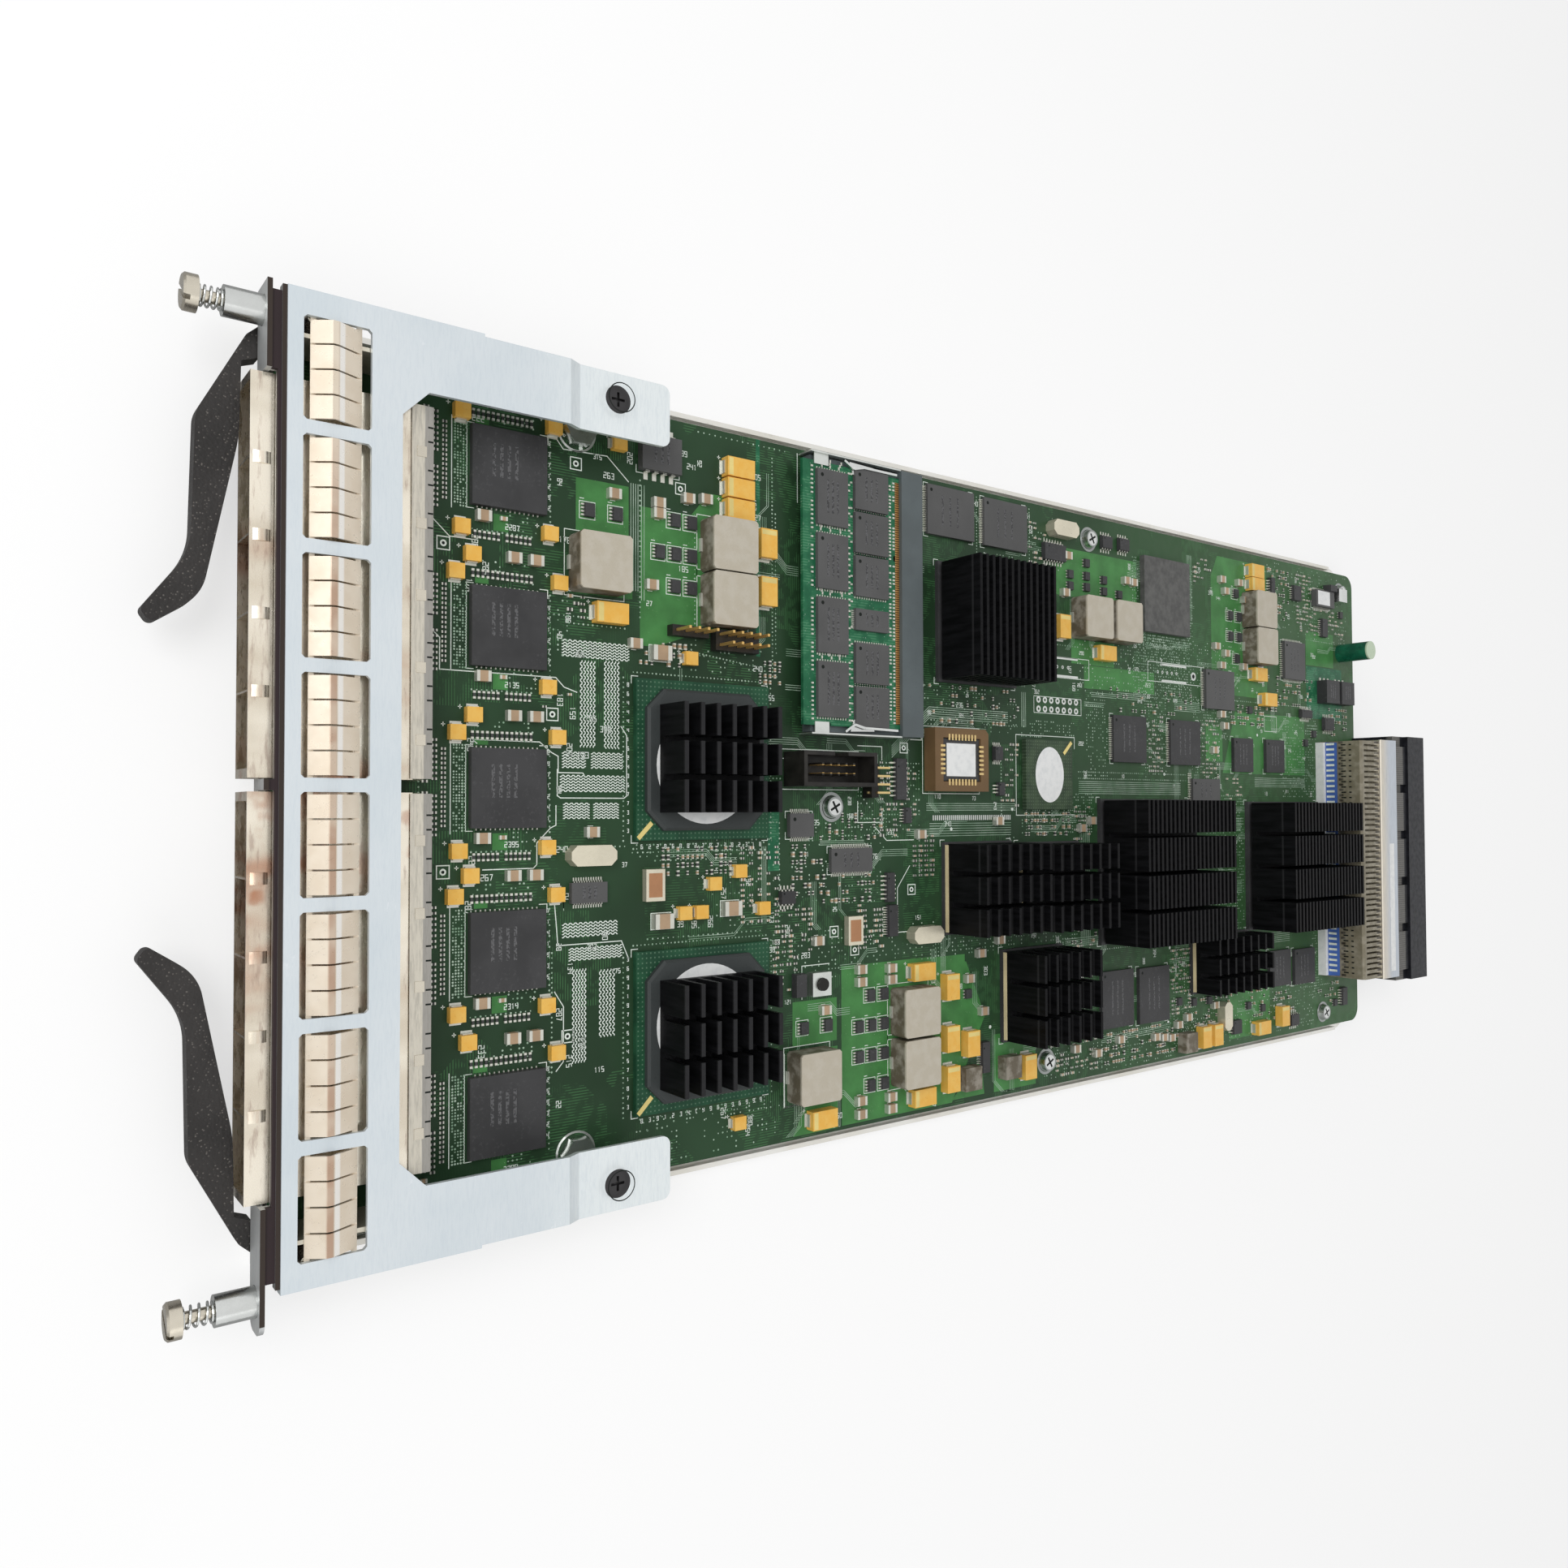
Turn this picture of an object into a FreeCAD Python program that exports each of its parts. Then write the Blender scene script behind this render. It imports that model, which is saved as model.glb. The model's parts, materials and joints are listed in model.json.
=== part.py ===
import FreeCAD, Part
import math
import os

from FreeCAD import Vector

# Switch line card. Lengths are millimetres.
# While it is built, X runs across the card from the board's middle, Y runs back from the front
# face of the panel and Z runs up from the board's top. At the end the card is moved so that its
# origin is the middle of its footprint, at the height of the tray's underside.

# ---- board, tray and frame -------------------------------------------------------------------
board_width = 176.0
board_front = 4.5
board_rear = 409.0
board_thick = 2.4
board_corner = 5.0
rail_margin = 3.5              # how far tray and frame stand out past the board on each side
tray_thick = 1.2
tray_gap = 2.8                 # air between tray and board
tray_front = 2.4
tray_short = 2.0               # the tray ends this far before the board
tray_rim = 1.8                 # height of the folded rims
frame_thick = 1.0
frame_top = 13.0
frame_front = 3.4
band_rear = 24.5
arm_rear = 85.3
arm_width = 14.5
arm_drop = 1.7
arm_step = 60.0                # where the arms start to step down
window_count = 8
window_pitch = 22.0
window_width = 19.4
window_front = 6.2
window_rear = 18.6
window_corner = 0.6
finger_count = 4
finger_slot = 0.35
finger_thick = 0.3
finger_rise = 2.4

# ---- panel -------------------------------------------------------------------------------------
panel_thick = 0.9
panel_drop = 0.4               # the panel and the gasket end below the frame's top
gasket_drop = 0.8
panel_overhang = 0.5
ear_reach = 10.6               # how far the ear stands out past the board's edge
channel_rear = 2.6
lip_thick = 0.8
shelf_drop = 2.5
shelf_thick = 0.7

# ---- ports -------------------------------------------------------------------------------------
ports_per_cage = 5
port_pitch = 14.25
cage_side = 1.5
cage_gap = 2.5
cage_front = -2.2
cage_high = 9.8
cage_top_rear = 27.8
cage_foot_rear = 31.6
cage_sheet = 0.4

# ---- levers ------------------------------------------------------------------------------------
pivot_inset = 0.8              # from the board's edge to the pivot
pivot_back = 8.5
pivot_r = 1.5
pivot_clear = 0.05
hub_r = 3.4
nose_r = 3.0
nose_out = 4.4                 # from the pivot to the middle of the cam nose
nose_behind = 3.0
lever_low = 0.6
lever_thick = 4.0
lever_gap = 0.4                # under the panel
guard_inset = 5.2              # from the board's edge to the guard's inner face
guard_thick = 0.8
guard_rear = 26.0

# ---- captive screws ----------------------------------------------------------------------------
screw_gap = 0.2                # between the thread and the shelf above it
left_screw_inset = 0.8
right_screw_out = 5.0
left_spring = 4.2
right_spring = 5.2
ferrule_r = 2.8
ferrule_length = 6.8
ferrule_wall = 1.2
screw_shank_r = 1.1
screw_thread_r = 1.5
screw_head_r = 3.3
screw_head = 2.5
slot_width = 0.9
coil_r = 1.85
wire_r = 0.2
coil_turns = 3.5
coil_runs = 10                 # straight runs in each turn

# ---- backplane connector ------------------------------------------------------------------------
conn_left = -21.0
conn_right = 68.5
conn_high = 16.4
wafer_pitch = 2.0
wafer_length = 24.4
comb_start = 1.8               # from the wafers' front to the comb's
comb_length = 10.6
wafer_short = 2.0              # the wafers end this far before the board
stiffener_short = 1.6
housing_length = 21.6
housing_over = 2.4
housing_low = -4.2

# ---- derived -----------------------------------------------------------------------------------
half_width = board_width / 2
tray_rear = board_rear - tray_short
wafer_rear = board_rear - wafer_short
conn_front = wafer_rear - wafer_length
comb_front = conn_front + comb_start
comb_rear = comb_front + comb_length
stiffener_rear = board_rear - stiffener_short
housing_rear = stiffener_rear + housing_length
half_card = half_width + rail_margin
tray_top = -board_thick - tray_gap
tray_low = tray_top - tray_thick
frame_low = frame_top - frame_thick
cage_width = ports_per_cage * port_pitch + 2 * cage_side
cage_out = cage_gap / 2 + cage_width
arm_in = half_card - arm_width
conn_middle = (conn_left + conn_right) / 2
panel_low = lever_low + lever_thick + lever_gap
panel_high = frame_top - panel_drop
gasket_high = frame_top - gasket_drop
shelf_low = frame_top - shelf_drop
running = 0.05
pivot_across = half_width - pivot_inset
nose_across = pivot_across + nose_out
nose_back = pivot_back + nose_behind
guard_across = half_width - guard_inset
screw_height = shelf_low - screw_gap - screw_thread_r
# across, spring length
screw_sides = {"left": (left_screw_inset - half_width, left_spring),
               "right": (half_width + right_screw_out, right_spring)}
nose_reach = math.hypot(nose_across - pivot_across, nose_back - pivot_back) + nose_r


# ---- small helpers -----------------------------------------------------------------------------
def block(x0, x1, y0, y1, z0, z1):
    return Part.makeBox(x1 - x0, y1 - y0, z1 - z0, Vector(x0, y0, z0))


def pad(x, y, wide, long, z0, z1):
    """A block centred on x, y."""
    return block(x - wide / 2, x + wide / 2, y - long / 2, y + long / 2, z0, z1)


def post(x, y, r, z0, z1):
    return Part.makeCylinder(r, z1 - z0, Vector(x, y, z0))


def rod(x, z, r, y0, y1):
    return Part.makeCylinder(r, y1 - y0, Vector(x, y0, z), Vector(0, 1, 0))


def prism(points, z0, z1):
    """Upright prism over an outline in plan."""
    wire = Part.makePolygon([Vector(x, y, z0) for x, y in points + points[:1]])
    return Part.Face(wire).extrude(Vector(0, 0, z1 - z0))


def section(points, x0, x1):
    """A side profile in Y and Z, drawn out across the card."""
    wire = Part.makePolygon([Vector(x0, y, z) for y, z in points + points[:1]])
    return Part.Face(wire).extrude(Vector(x1 - x0, 0, 0))


def hexagon(x, y, corner_r, z0, z1):
    """Hexagonal prism with two corners towards +Y and -Y."""
    turns = [math.radians(60 * i) for i in range(6)]
    return prism([(x + corner_r * math.sin(a), y + corner_r * math.cos(a)) for a in turns], z0, z1)


def cross_recess(x, y, top, reach):
    """Two crossed grooves for a screwdriver, cut down from the top of a head."""
    return [pad(x, y, reach, 0.6, top - 0.9, top + 1), pad(x, y, 0.6, reach, top - 0.9, top + 1)]


def join(shapes):
    whole = shapes[0]
    if len(shapes) > 1:
        whole = whole.multiFuse(shapes[1:])
    return whole.removeSplitter()


def trim(shape, tools):
    return shape.cut(Part.makeCompound(tools))


def upright_edges(shape):
    """Edges that run along Z."""
    found = []
    for edge in shape.Edges:
        start, end = edge.Vertexes[0].Point, edge.Vertexes[-1].Point
        if math.hypot(end.x - start.x, end.y - start.y) < 1e-6 and abs(end.z - start.z) > 1e-6:
            found.append(edge)
    return found


def rounded_prism(corners, z0, z1):
    """Upright prism whose corners are (x, y, radius)."""
    shape = prism([(x, y) for x, y, _ in corners], z0, z1)
    for x, y, r in corners:
        if r > 0:
            shape = round_corners(shape, r, lambda px, py: math.hypot(px - x, py - y) < 1e-4)
    return shape


def round_corners(shape, r, keep):
    """Rounds the upright edges for which keep(x, y) is true."""
    edges = [e for e in upright_edges(shape) if keep(e.Vertexes[0].Point.x, e.Vertexes[0].Point.y)]
    return shape.makeFillet(r, edges)


def both_sides(shape):
    """The shape and its mirror image across the card's middle."""
    return [shape, shape.mirror(Vector(0, 0, 0), Vector(1, 0, 0))]


def turned(profile, centre, axis):
    """Revolves a profile of (radius, distance) pairs about an axis through centre."""
    wire = Part.makePolygon([Vector(r, 0, d) for r, d in profile + profile[:1]])
    solid = Part.Face(wire).revolve(Vector(0, 0, 0), Vector(0, 0, 1), 360)
    solid.Placement = FreeCAD.Placement(centre, FreeCAD.Rotation(Vector(0, 0, 1), axis))
    return solid


# ---- tray ----------------------------------------------------------------------------------------
edge_fixing = half_width - 7.4
board_fixings = [(4.0, 140.8), (-edge_fixing, 245.5), (edge_fixing, 223.5),
                 (-edge_fixing, board_rear - 10.0), (edge_fixing + 1.8, board_rear - 26.5)]
fixing_post_r = 3.0
fixing_head_r = 3.0
fixing_head = 1.8


def make_tray():
    sheet = block(-half_card, half_card, tray_front, tray_rear, tray_low, tray_top)
    sheet = round_corners(sheet, 6.0, lambda x, y: y > tray_rear - 1)
    rim = block(half_card - tray_thick, half_card, tray_front, tray_rear - 9.0, tray_top, tray_top + tray_rim)
    front = block(-half_card, half_card, tray_front, tray_front + tray_thick,
                  tray_top, -board_thick - 0.2)
    return join([sheet, front] + both_sides(rim))


def make_board_posts():
    return [hexagon(x, y, fixing_post_r, tray_top, -board_thick) for x, y in board_fixings]


def make_board_screws():
    """Pan heads, seated on the board over their posts."""
    return [Part.makeCone(fixing_head_r, fixing_head_r - 0.4, fixing_head, Vector(x, y, 0))
            for x, y in board_fixings]


# ---- main board ----------------------------------------------------------------------------------
notch_inset = 3.8              # the board's front corners leave room for the lever pins
notch_rear = 13.0


def make_board():
    sheet = block(-half_width, half_width, board_front, board_rear, -board_thick, 0)
    sheet = round_corners(sheet, board_corner, lambda x, y: y > board_rear - 1)
    corner = block(half_width - notch_inset, half_width + 1, board_front - 1, notch_rear, -board_thick - 1, 1)
    return trim(sheet, both_sides(corner))


# ---- panel ---------------------------------------------------------------------------------------
def cage_gates(rear):
    """The two openings of the panel that the cages pass through."""
    play = 0.25
    inner, outer = cage_gap / 2 - play, cage_out + play
    return both_sides(block(inner, outer, -1, rear, panel_low - 1, gasket_high + 2))


def make_faceplate():
    left = -half_card - panel_overhang
    ear_end = half_width + ear_reach
    wall = block(left, ear_end, 0, panel_thick, panel_low, panel_high)
    ends = [e for e in wall.Edges if abs(e.Vertexes[0].Point.x - ear_end) < 1e-6
            and abs(e.Vertexes[-1].Point.x - ear_end) < 1e-6
            and abs(e.Vertexes[0].Point.z - e.Vertexes[-1].Point.z) < 1e-6]
    wall = wall.makeFillet(2.6, ends)
    shelf = block(-half_card + 1.0, half_card - 2.0, panel_thick, channel_rear, shelf_low, shelf_low + shelf_thick)
    lip = block(-half_card, half_card - 1.0, channel_rear, channel_rear + lip_thick, shelf_low, panel_high)
    plate = join([wall, shelf, lip])
    holes = [rod(x, screw_height, ferrule_r + running, -1, panel_thick + 1) for x, _ in screw_sides.values()]
    return trim(plate, cage_gates(channel_rear - 0.6) + holes)


def make_gasket():
    strip = block(-half_card + 1.2, half_card - 2.2, panel_thick, channel_rear,
                  shelf_low + shelf_thick, gasket_high)
    return trim(strip, cage_gates(channel_rear - 0.65))


# ---- top frame -----------------------------------------------------------------------------------
frame_screw_across = half_width - 2.8
frame_screw_back = 72.2
csk_r = 3.1


def window_centres():
    return [(i - (window_count - 1) / 2) * window_pitch for i in range(window_count)]


def make_frame():
    """One folded sheet: front flange, windowed band and two stepped arms."""
    low, thin = frame_low, frame_thick
    slope = 3.0
    side = [(frame_front, frame_top), (arm_step, frame_top), (arm_step + slope, frame_top - arm_drop),
            (arm_rear, frame_top - arm_drop), (arm_rear, low - arm_drop), (arm_step + slope - 0.3, low - arm_drop),
            (arm_step - 0.3, low), (frame_front + thin, low), (frame_front + thin, shelf_low),
            (frame_front, shelf_low)]
    chamfer = 5.2
    sheet = section(side, -half_card, half_card)
    bay = [(-arm_in, arm_rear + 1), (-arm_in, band_rear + chamfer), (-arm_in + chamfer, band_rear),
           (arm_in - chamfer, band_rear), (arm_in, band_rear + chamfer), (arm_in, arm_rear + 1)]
    edge_step = block(half_card - 0.6, half_card + 1, 41.0, arm_rear + 1, 0, frame_top + 1)
    cuts = [prism(bay, 0, frame_top + 1)] + both_sides(edge_step)
    for x in window_centres():
        hole = block(x - window_width / 2, x + window_width / 2, window_front, window_rear, low - 0.5, frame_top + 1)
        cuts.append(hole.makeChamfer(window_corner, upright_edges(hole)))
    seat = frame_top - arm_drop
    for side_x in (-frame_screw_across, frame_screw_across):
        cuts.append(Part.makeCone(csk_r - thin, csk_r, thin, Vector(side_x, frame_screw_back, seat - thin)))
    frame = trim(sheet, cuts)
    return round_corners(frame, 2.0, lambda x, y: y > arm_rear - 0.01)


def make_frame_posts():
    """Hexagonal posts that carry the arms."""
    return both_sides(hexagon(frame_screw_across, frame_screw_back, 2.6, 0, frame_low - arm_drop))


def make_frame_screws():
    """Countersunk heads, flush with the arms."""
    x, y = frame_screw_across, frame_screw_back
    seat = frame_top - arm_drop
    head_r = csk_r - running
    head = Part.makeCone(head_r - frame_thick, head_r, frame_thick, Vector(x, y, seat - frame_thick))
    return both_sides(trim(head, cross_recess(x, y, seat, 3.2)))


def make_hex_nuts():
    """Low plated nuts on the board beside the arms."""
    return both_sides(hexagon(half_width - 7.6, frame_screw_back - 4.4, 4.0, 0, 3.0))


def make_contact_strip():
    """Sprung sheet under the frame: two rails, and roof-shaped fingers between them in each window."""
    rail = 1.0
    y0 = window_front + 1.4
    y1 = window_rear - 1.6
    ridge = y0 + 0.42 * (y1 - y0)
    under = frame_low
    reach = window_pitch * window_count / 2 - 0.6
    rails = [block(-reach, reach, y0, y0 + rail, under - finger_thick, under),
             block(-reach, reach, y1 - rail, y1, under - finger_thick, under)]
    crest = under + finger_rise
    roof = [(y0, under - finger_thick), (y0, under), (ridge - 0.5, crest), (ridge + 0.5, crest), (y1, under),
            (y1, under - finger_thick), (y1 - rail, under - finger_thick), (ridge, crest - finger_thick),
            (y0 + rail, under - finger_thick)]
    clear = 0.3
    step = (window_width - 2 * clear) / finger_count
    fingers = []
    for x in window_centres():
        for i in range(finger_count):
            start = x - window_width / 2 + clear + i * step
            fingers.append(section(roof, start + finger_slot / 2, start + step - finger_slot / 2))
    return join(rails + fingers)


# ---- lever bays ----------------------------------------------------------------------------------
def make_guard():
    """Folded side wall of a lever bay, right side."""
    x0, x1 = guard_across, guard_across + guard_thick
    wall = block(x0, x1, board_front + 0.1, guard_rear, 0, frame_low - finger_thick)
    foot = block(x0, half_width - 0.4, pivot_back + nose_reach + 0.5, guard_rear, 0, guard_thick)
    head = block(x0, half_card - 1.5, window_rear + 0.6, guard_rear, frame_low - guard_thick, frame_low)
    return join([wall, foot, head])


# the lever's outline from the cam side of the neck round the tip and back: distance inwards from
# the pivot, distance back from the panel's face, and corner radius
lever_root = [(3.5, -1.9, 1.4), (19.6, -10.3, 6.0), (45.2, -10.9, 14.0)]
lever_tip = [(56.3, -18.9, 1.2), (58.7, -17.2, 1.2)]
lever_back = [(53.0, -9.0, 9.0), (23.2, -3.0, 30.0), (8.6, -2.7, 0)]


def make_lever():
    """Right-hand ejector lever: an S-shaped handle, a neck under the panel, a hub and a cam nose."""
    z0 = lever_low
    inner = hub_r - 0.1
    neck = [(inner + 4.2, 0.2, 0), (inner, 3.0, 0), (inner, pivot_back, 0), (0.2 - hub_r, pivot_back, 0),
            (-1.0, 3.0, 2.0)]
    outline = [(pivot_across - inwards, y, r) for inwards, y, r in lever_root + lever_tip + lever_back + neck]
    handle = rounded_prism(outline, z0, z0 + lever_thick)
    hub = post(pivot_across, pivot_back, hub_r, z0, z0 + lever_thick)
    nose = post(nose_across, nose_back, nose_r, z0, z0 + lever_thick)
    span = Vector(nose_across - pivot_across, nose_back - pivot_back, 0)
    side = Vector(-span.y, span.x, 0)
    side.normalize()
    cam = prism([(pivot_across + side.x * hub_r, pivot_back + side.y * hub_r),
                 (pivot_across - side.x * hub_r, pivot_back - side.y * hub_r),
                 (nose_across - side.x * nose_r, nose_back - side.y * nose_r),
                 (nose_across + side.x * nose_r, nose_back + side.y * nose_r)], z0, z0 + lever_thick)
    body = join([handle, hub, nose, cam])
    return body.cut(post(pivot_across, pivot_back, pivot_r + pivot_clear, z0 - 1, z0 + lever_thick + 1))


def make_lever_pins():
    """Round pins on hexagonal feet; they stand on the tray and end under the frame."""
    shoulder = lever_low - 0.2
    foot = hexagon(pivot_across, pivot_back, 2.9, tray_top, shoulder)
    pin = post(pivot_across, pivot_back, pivot_r, shoulder, frame_low - finger_thick)
    return both_sides(join([foot, pin]))


# ---- captive screws --------------------------------------------------------------------------------
ferrule_bore_r = screw_thread_r + 0.15


def make_ferrules():
    """Pressed into the panel: a small hole in front, a wide bore behind it for the thread."""
    front = -ferrule_length
    solids = []
    for x, _ in screw_sides.values():
        profile = [(screw_shank_r + 0.1, front), (ferrule_r, front), (ferrule_r, panel_thick),
                   (ferrule_bore_r, panel_thick), (ferrule_bore_r, front + ferrule_wall),
                   (screw_shank_r + 0.1, front + ferrule_wall)]
        solids.append(turned(profile, Vector(x, 0, screw_height), Vector(0, 1, 0)))
    return solids


def make_captive_screw(x, spring):
    head_rear = -ferrule_length - spring
    head_front = head_rear - screw_head
    shoulder = -ferrule_length + ferrule_wall + running
    tip = panel_thick - 0.3
    profile = [(0, head_front), (screw_head_r - 0.4, head_front), (screw_head_r, head_front + 0.4),
               (screw_head_r, head_rear), (screw_shank_r, head_rear), (screw_shank_r, shoulder),
               (screw_thread_r, shoulder), (screw_thread_r, tip), (0, tip)]
    body = turned(profile, Vector(x, 0, screw_height), Vector(0, 1, 0))
    slot = block(x - slot_width / 2, x + slot_width / 2, head_front - 1, head_front + 1.1,
                 screw_height - screw_head_r - 1, screw_height + screw_head_r + 1)
    slot.rotate(Vector(x, 0, screw_height), Vector(0, 1, 0), 35)
    return body.cut(slot)


def make_spring(x, spring):
    """Coil of short straight runs, a little short of its two seats."""
    length = spring - 2 * (wire_r + running)
    start = -ferrule_length - spring + wire_r + running
    steps = int(coil_turns * coil_runs)
    points = []
    for i in range(steps + 1):
        a = 2 * math.pi * i / coil_runs
        points.append(Vector(x + coil_r * math.cos(a), start + length * i / steps, screw_height + coil_r * math.sin(a)))
    path = Part.makePolygon(points)
    run = (points[1] - points[0]).normalize()
    ring = Part.makeCircle(wire_r, points[0], run).discretize(5)
    return path.makePipeShell([Part.makePolygon(ring)], True, True, 1)


# ---- port cages ------------------------------------------------------------------------------------
def make_cage():
    """Right-hand ganged cage: folded sheet with a sloped back, five open bays and hollow side walls."""
    x0 = cage_gap / 2
    x1 = x0 + cage_width
    t = cage_sheet
    outer = [(cage_front, 0), (cage_front, cage_high), (cage_top_rear, cage_high), (cage_foot_rear, 4.0), (cage_foot_rear, 0)]
    inner = [(cage_front - 1, t), (cage_front - 1, cage_high - t), (cage_top_rear - 0.2, cage_high - t),
             (cage_foot_rear - t, 3.8), (cage_foot_rear - t, t)]
    shell = section(outer, x0, x1)
    cuts = []
    for i in range(ports_per_cage):
        start = x0 + cage_side + i * port_pitch + t / 2
        cuts.append(section(inner, start, start + port_pitch - t))
    hollow = [(cage_front + 4.0, -1), (cage_front + 4.0, cage_high - t), (cage_top_rear - 0.6, cage_high - t),
              (cage_foot_rear - 0.8, 3.8), (cage_foot_rear - 0.8, -1)]
    for start in (x0 + t, x1 - cage_side + t / 2):
        cuts.append(section(hollow, start, start + cage_side - 1.5 * t))
    body = trim(shell, cuts)
    springs = []
    for i in range(1, ports_per_cage):
        wall = x0 + cage_side + i * port_pitch
        arc = Part.Arc(Vector(wall - 1.1, cage_front + 0.4, cage_high - 0.1),
                       Vector(wall - 1.1, (cage_front + 2.0) / 2, cage_high + 0.35),
                       Vector(wall - 1.1, 1.6, cage_high - 0.1)).toShape()
        base = Part.makeLine(arc.Vertexes[-1].Point, arc.Vertexes[0].Point)
        springs.append(Part.Face(Part.Wire([arc, base])).extrude(Vector(2.2, 0, 0)))
    return join([body] + springs)


def make_port_connectors():
    """Card-edge connectors at the back of the bays."""
    wide = port_pitch - cage_sheet - 1.65
    deep, high = 5.6, 6.6
    y0 = cage_top_rear - 0.2 - deep
    solids = []
    for i in range(ports_per_cage):
        x = cage_gap / 2 + cage_side + (i + 0.5) * port_pitch
        body = pad(x, y0 + deep / 2, wide, deep, cage_sheet, cage_sheet + high)
        mouth = block(x - wide / 2 + 1.3, x + wide / 2 - 1.3, y0 - 1, y0 + deep - 1.2, 3.2, 4.6)
        solids += both_sides(body.cut(mouth))
    return solids


# ---- chips and heat sinks -----------------------------------------------------------------------------
port_chip_x = [-68.4, -34.3, 0.0, 34.6, 69.0]
port_chip_y = 51.4
port_chip_size = 17.0
port_chip_high = 1.7
switch_chip_places = [(-7.0, 101.0), (56.0, 101.0)]
switch_chip_size = 37.5
switch_chip_high = 1.4
lid_size = 33.0
lid_high = 1.8
lid_corner = 4.5
fin_thick = 1.0
sink_base = 1.8

# name: x, y, wide, long, underside, top, fins along the card, rows across it
heat_sinks = {
    "heat_sink_switch_left": (-7.2, 101.0, 25.0, 27.0, 3.2, 14.2, 7, 3),
    "heat_sink_switch_right": (56.4, 101.0, 25.0, 27.0, 3.2, 14.2, 7, 3),
    "heat_sink_processor": (-48.2, 194.6, 33.0, 31.0, 2.2, 16.9, 13, 1),
    "heat_sink_queue_front": (26.8, 194.3, 25.0, 26.6, 2.2, 16.8, 7, 3),
    "heat_sink_queue_rear": (27.4, 224.6, 25.0, 26.6, 2.2, 16.8, 7, 3),
    "heat_sink_forwarding": (24.4, 272.6, 45.0, 46.6, 2.4, 18.8, 22, 4),
    "heat_sink_fabric": (25.0, 355.1, 45.0, 46.6, 2.4, 18.8, 22, 4),
    "heat_sink_lookup": (59.0, 217.0, 26.0, 25.4, 2.2, 16.6, 6, 3),
    "heat_sink_clock": (57.5, 314.0, 19.0, 33.0, 2.2, 11.2, 8, 3),
}


def make_heat_sink(x, y, wide, long, low, high, fins, rows):
    """A base plate with thin upright fins, cut across into rows."""
    gap = (long - fins * fin_thick) / (fins - 1)
    thin = fin_thick
    if gap < 1.0:
        thin = 0.75 * long / (2 * fins - 1)
        gap = (long - fins * thin) / (fins - 1)
    body = pad(x, y, wide, long, low, low + sink_base)
    saw = 1.4
    row_wide = (wide - (rows - 1) * saw) / rows
    pieces = [body]
    for j in range(rows):
        x0 = x - wide / 2 + j * (row_wide + saw)
        for i in range(fins):
            y0 = y - long / 2 + i * (thin + gap)
            pieces.append(block(x0, x0 + row_wide, y0, y0 + thin, low + sink_base, high))
    return join(pieces)


def make_sink_chips():
    """Packages under the heat sinks that hide them."""
    solids = []
    for name, (x, y, wide, long, low, _, _, _) in heat_sinks.items():
        if "switch" not in name:
            solids.append(pad(x, y, wide + 1.0, long + 1.0, 0, low * 0.55))
            solids.append(pad(x, y, wide - 3.0, long - 3.0, low * 0.55, low))
    return solids


def make_port_chips():
    return [pad(x, port_chip_y, port_chip_size, port_chip_size, 0, port_chip_high) for x in port_chip_x]


def make_switch_chip_bases():
    return [pad(x, y, switch_chip_size, switch_chip_size, 0, switch_chip_high) for x, y in switch_chip_places]


def make_switch_chip_lids():
    """Bevelled lids with cut corners."""
    solids = []
    half = lid_size / 2
    for x, y in switch_chip_places:
        outline = [(x - half + lid_corner, y - half), (x + half - lid_corner, y - half), (x + half, y - half + lid_corner),
                   (x + half, y + half - lid_corner), (x + half - lid_corner, y + half), (x - half + lid_corner, y + half),
                   (x - half, y + half - lid_corner), (x - half, y - half + lid_corner)]
        top = switch_chip_high + lid_high
        slab = prism(outline, switch_chip_high, top)
        rim = [e for e in slab.Edges if min(v.Point.z for v in e.Vertexes) > top - 0.01]
        solids.append(slab.makeChamfer(0.6, rim))
    return solids


# ---- memory module -----------------------------------------------------------------------------------
dimm_x = -50.6
dimm_width = 67.6
dimm_front = 128.4
dimm_rear = 163.0
dimm_low = 3.4
dimm_thick = 1.0
slot_rear = 168.6


def make_dimm_board():
    sheet = block(dimm_x - dimm_width / 2, dimm_x + dimm_width / 2, dimm_front, dimm_rear, dimm_low, dimm_low + dimm_thick)
    notch = [post(dimm_x + s * dimm_width / 2, dimm_front + 8.0, 1.0, 0, 10) for s in (-1, 1)]
    key = pad(dimm_x - 12.0, dimm_rear, 1.5, 8.0, 0, 10)
    return trim(sheet, notch + [key])


def make_dimm_slot():
    """Angled-entry socket: a bar with side arms that run under the module's edges."""
    bar = block(dimm_x - dimm_width / 2 - 2.0, dimm_x + dimm_width / 2 + 2.0, dimm_rear - 2.0, slot_rear, 0, 5.6)
    mouth = block(dimm_x - dimm_width / 2 - 0.2, dimm_x + dimm_width / 2 + 0.2, dimm_rear - 3.0, dimm_rear + 0.2,
                  dimm_low - 0.1, dimm_low + dimm_thick + 0.1)
    foot = block(dimm_x + dimm_width / 2 - 1.6, dimm_x + dimm_width / 2 + 1.6, dimm_front + 3.0, dimm_rear - 2.0,
                 0, dimm_low - 0.02)
    feet = [foot, foot.mirror(Vector(dimm_x, 0, 0), Vector(1, 0, 0))]
    return join([bar.cut(mouth)] + feet)


def make_dimm_latches():
    """Sprung steel arms with a hook over the module's edge."""
    edge = dimm_x + dimm_width / 2
    top = dimm_low + dimm_thick
    arm = block(edge + 1.9, edge + 2.3, dimm_front + 2.0, dimm_rear - 2.0, 0, 5.4)
    hook = block(edge - 0.9, edge + 2.3, dimm_front + 3.4, dimm_front + 8.0, top + 0.05, top + 0.45)
    latch = join([arm, hook])
    return [latch, latch.mirror(Vector(dimm_x, 0, 0), Vector(1, 0, 0))]


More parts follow.
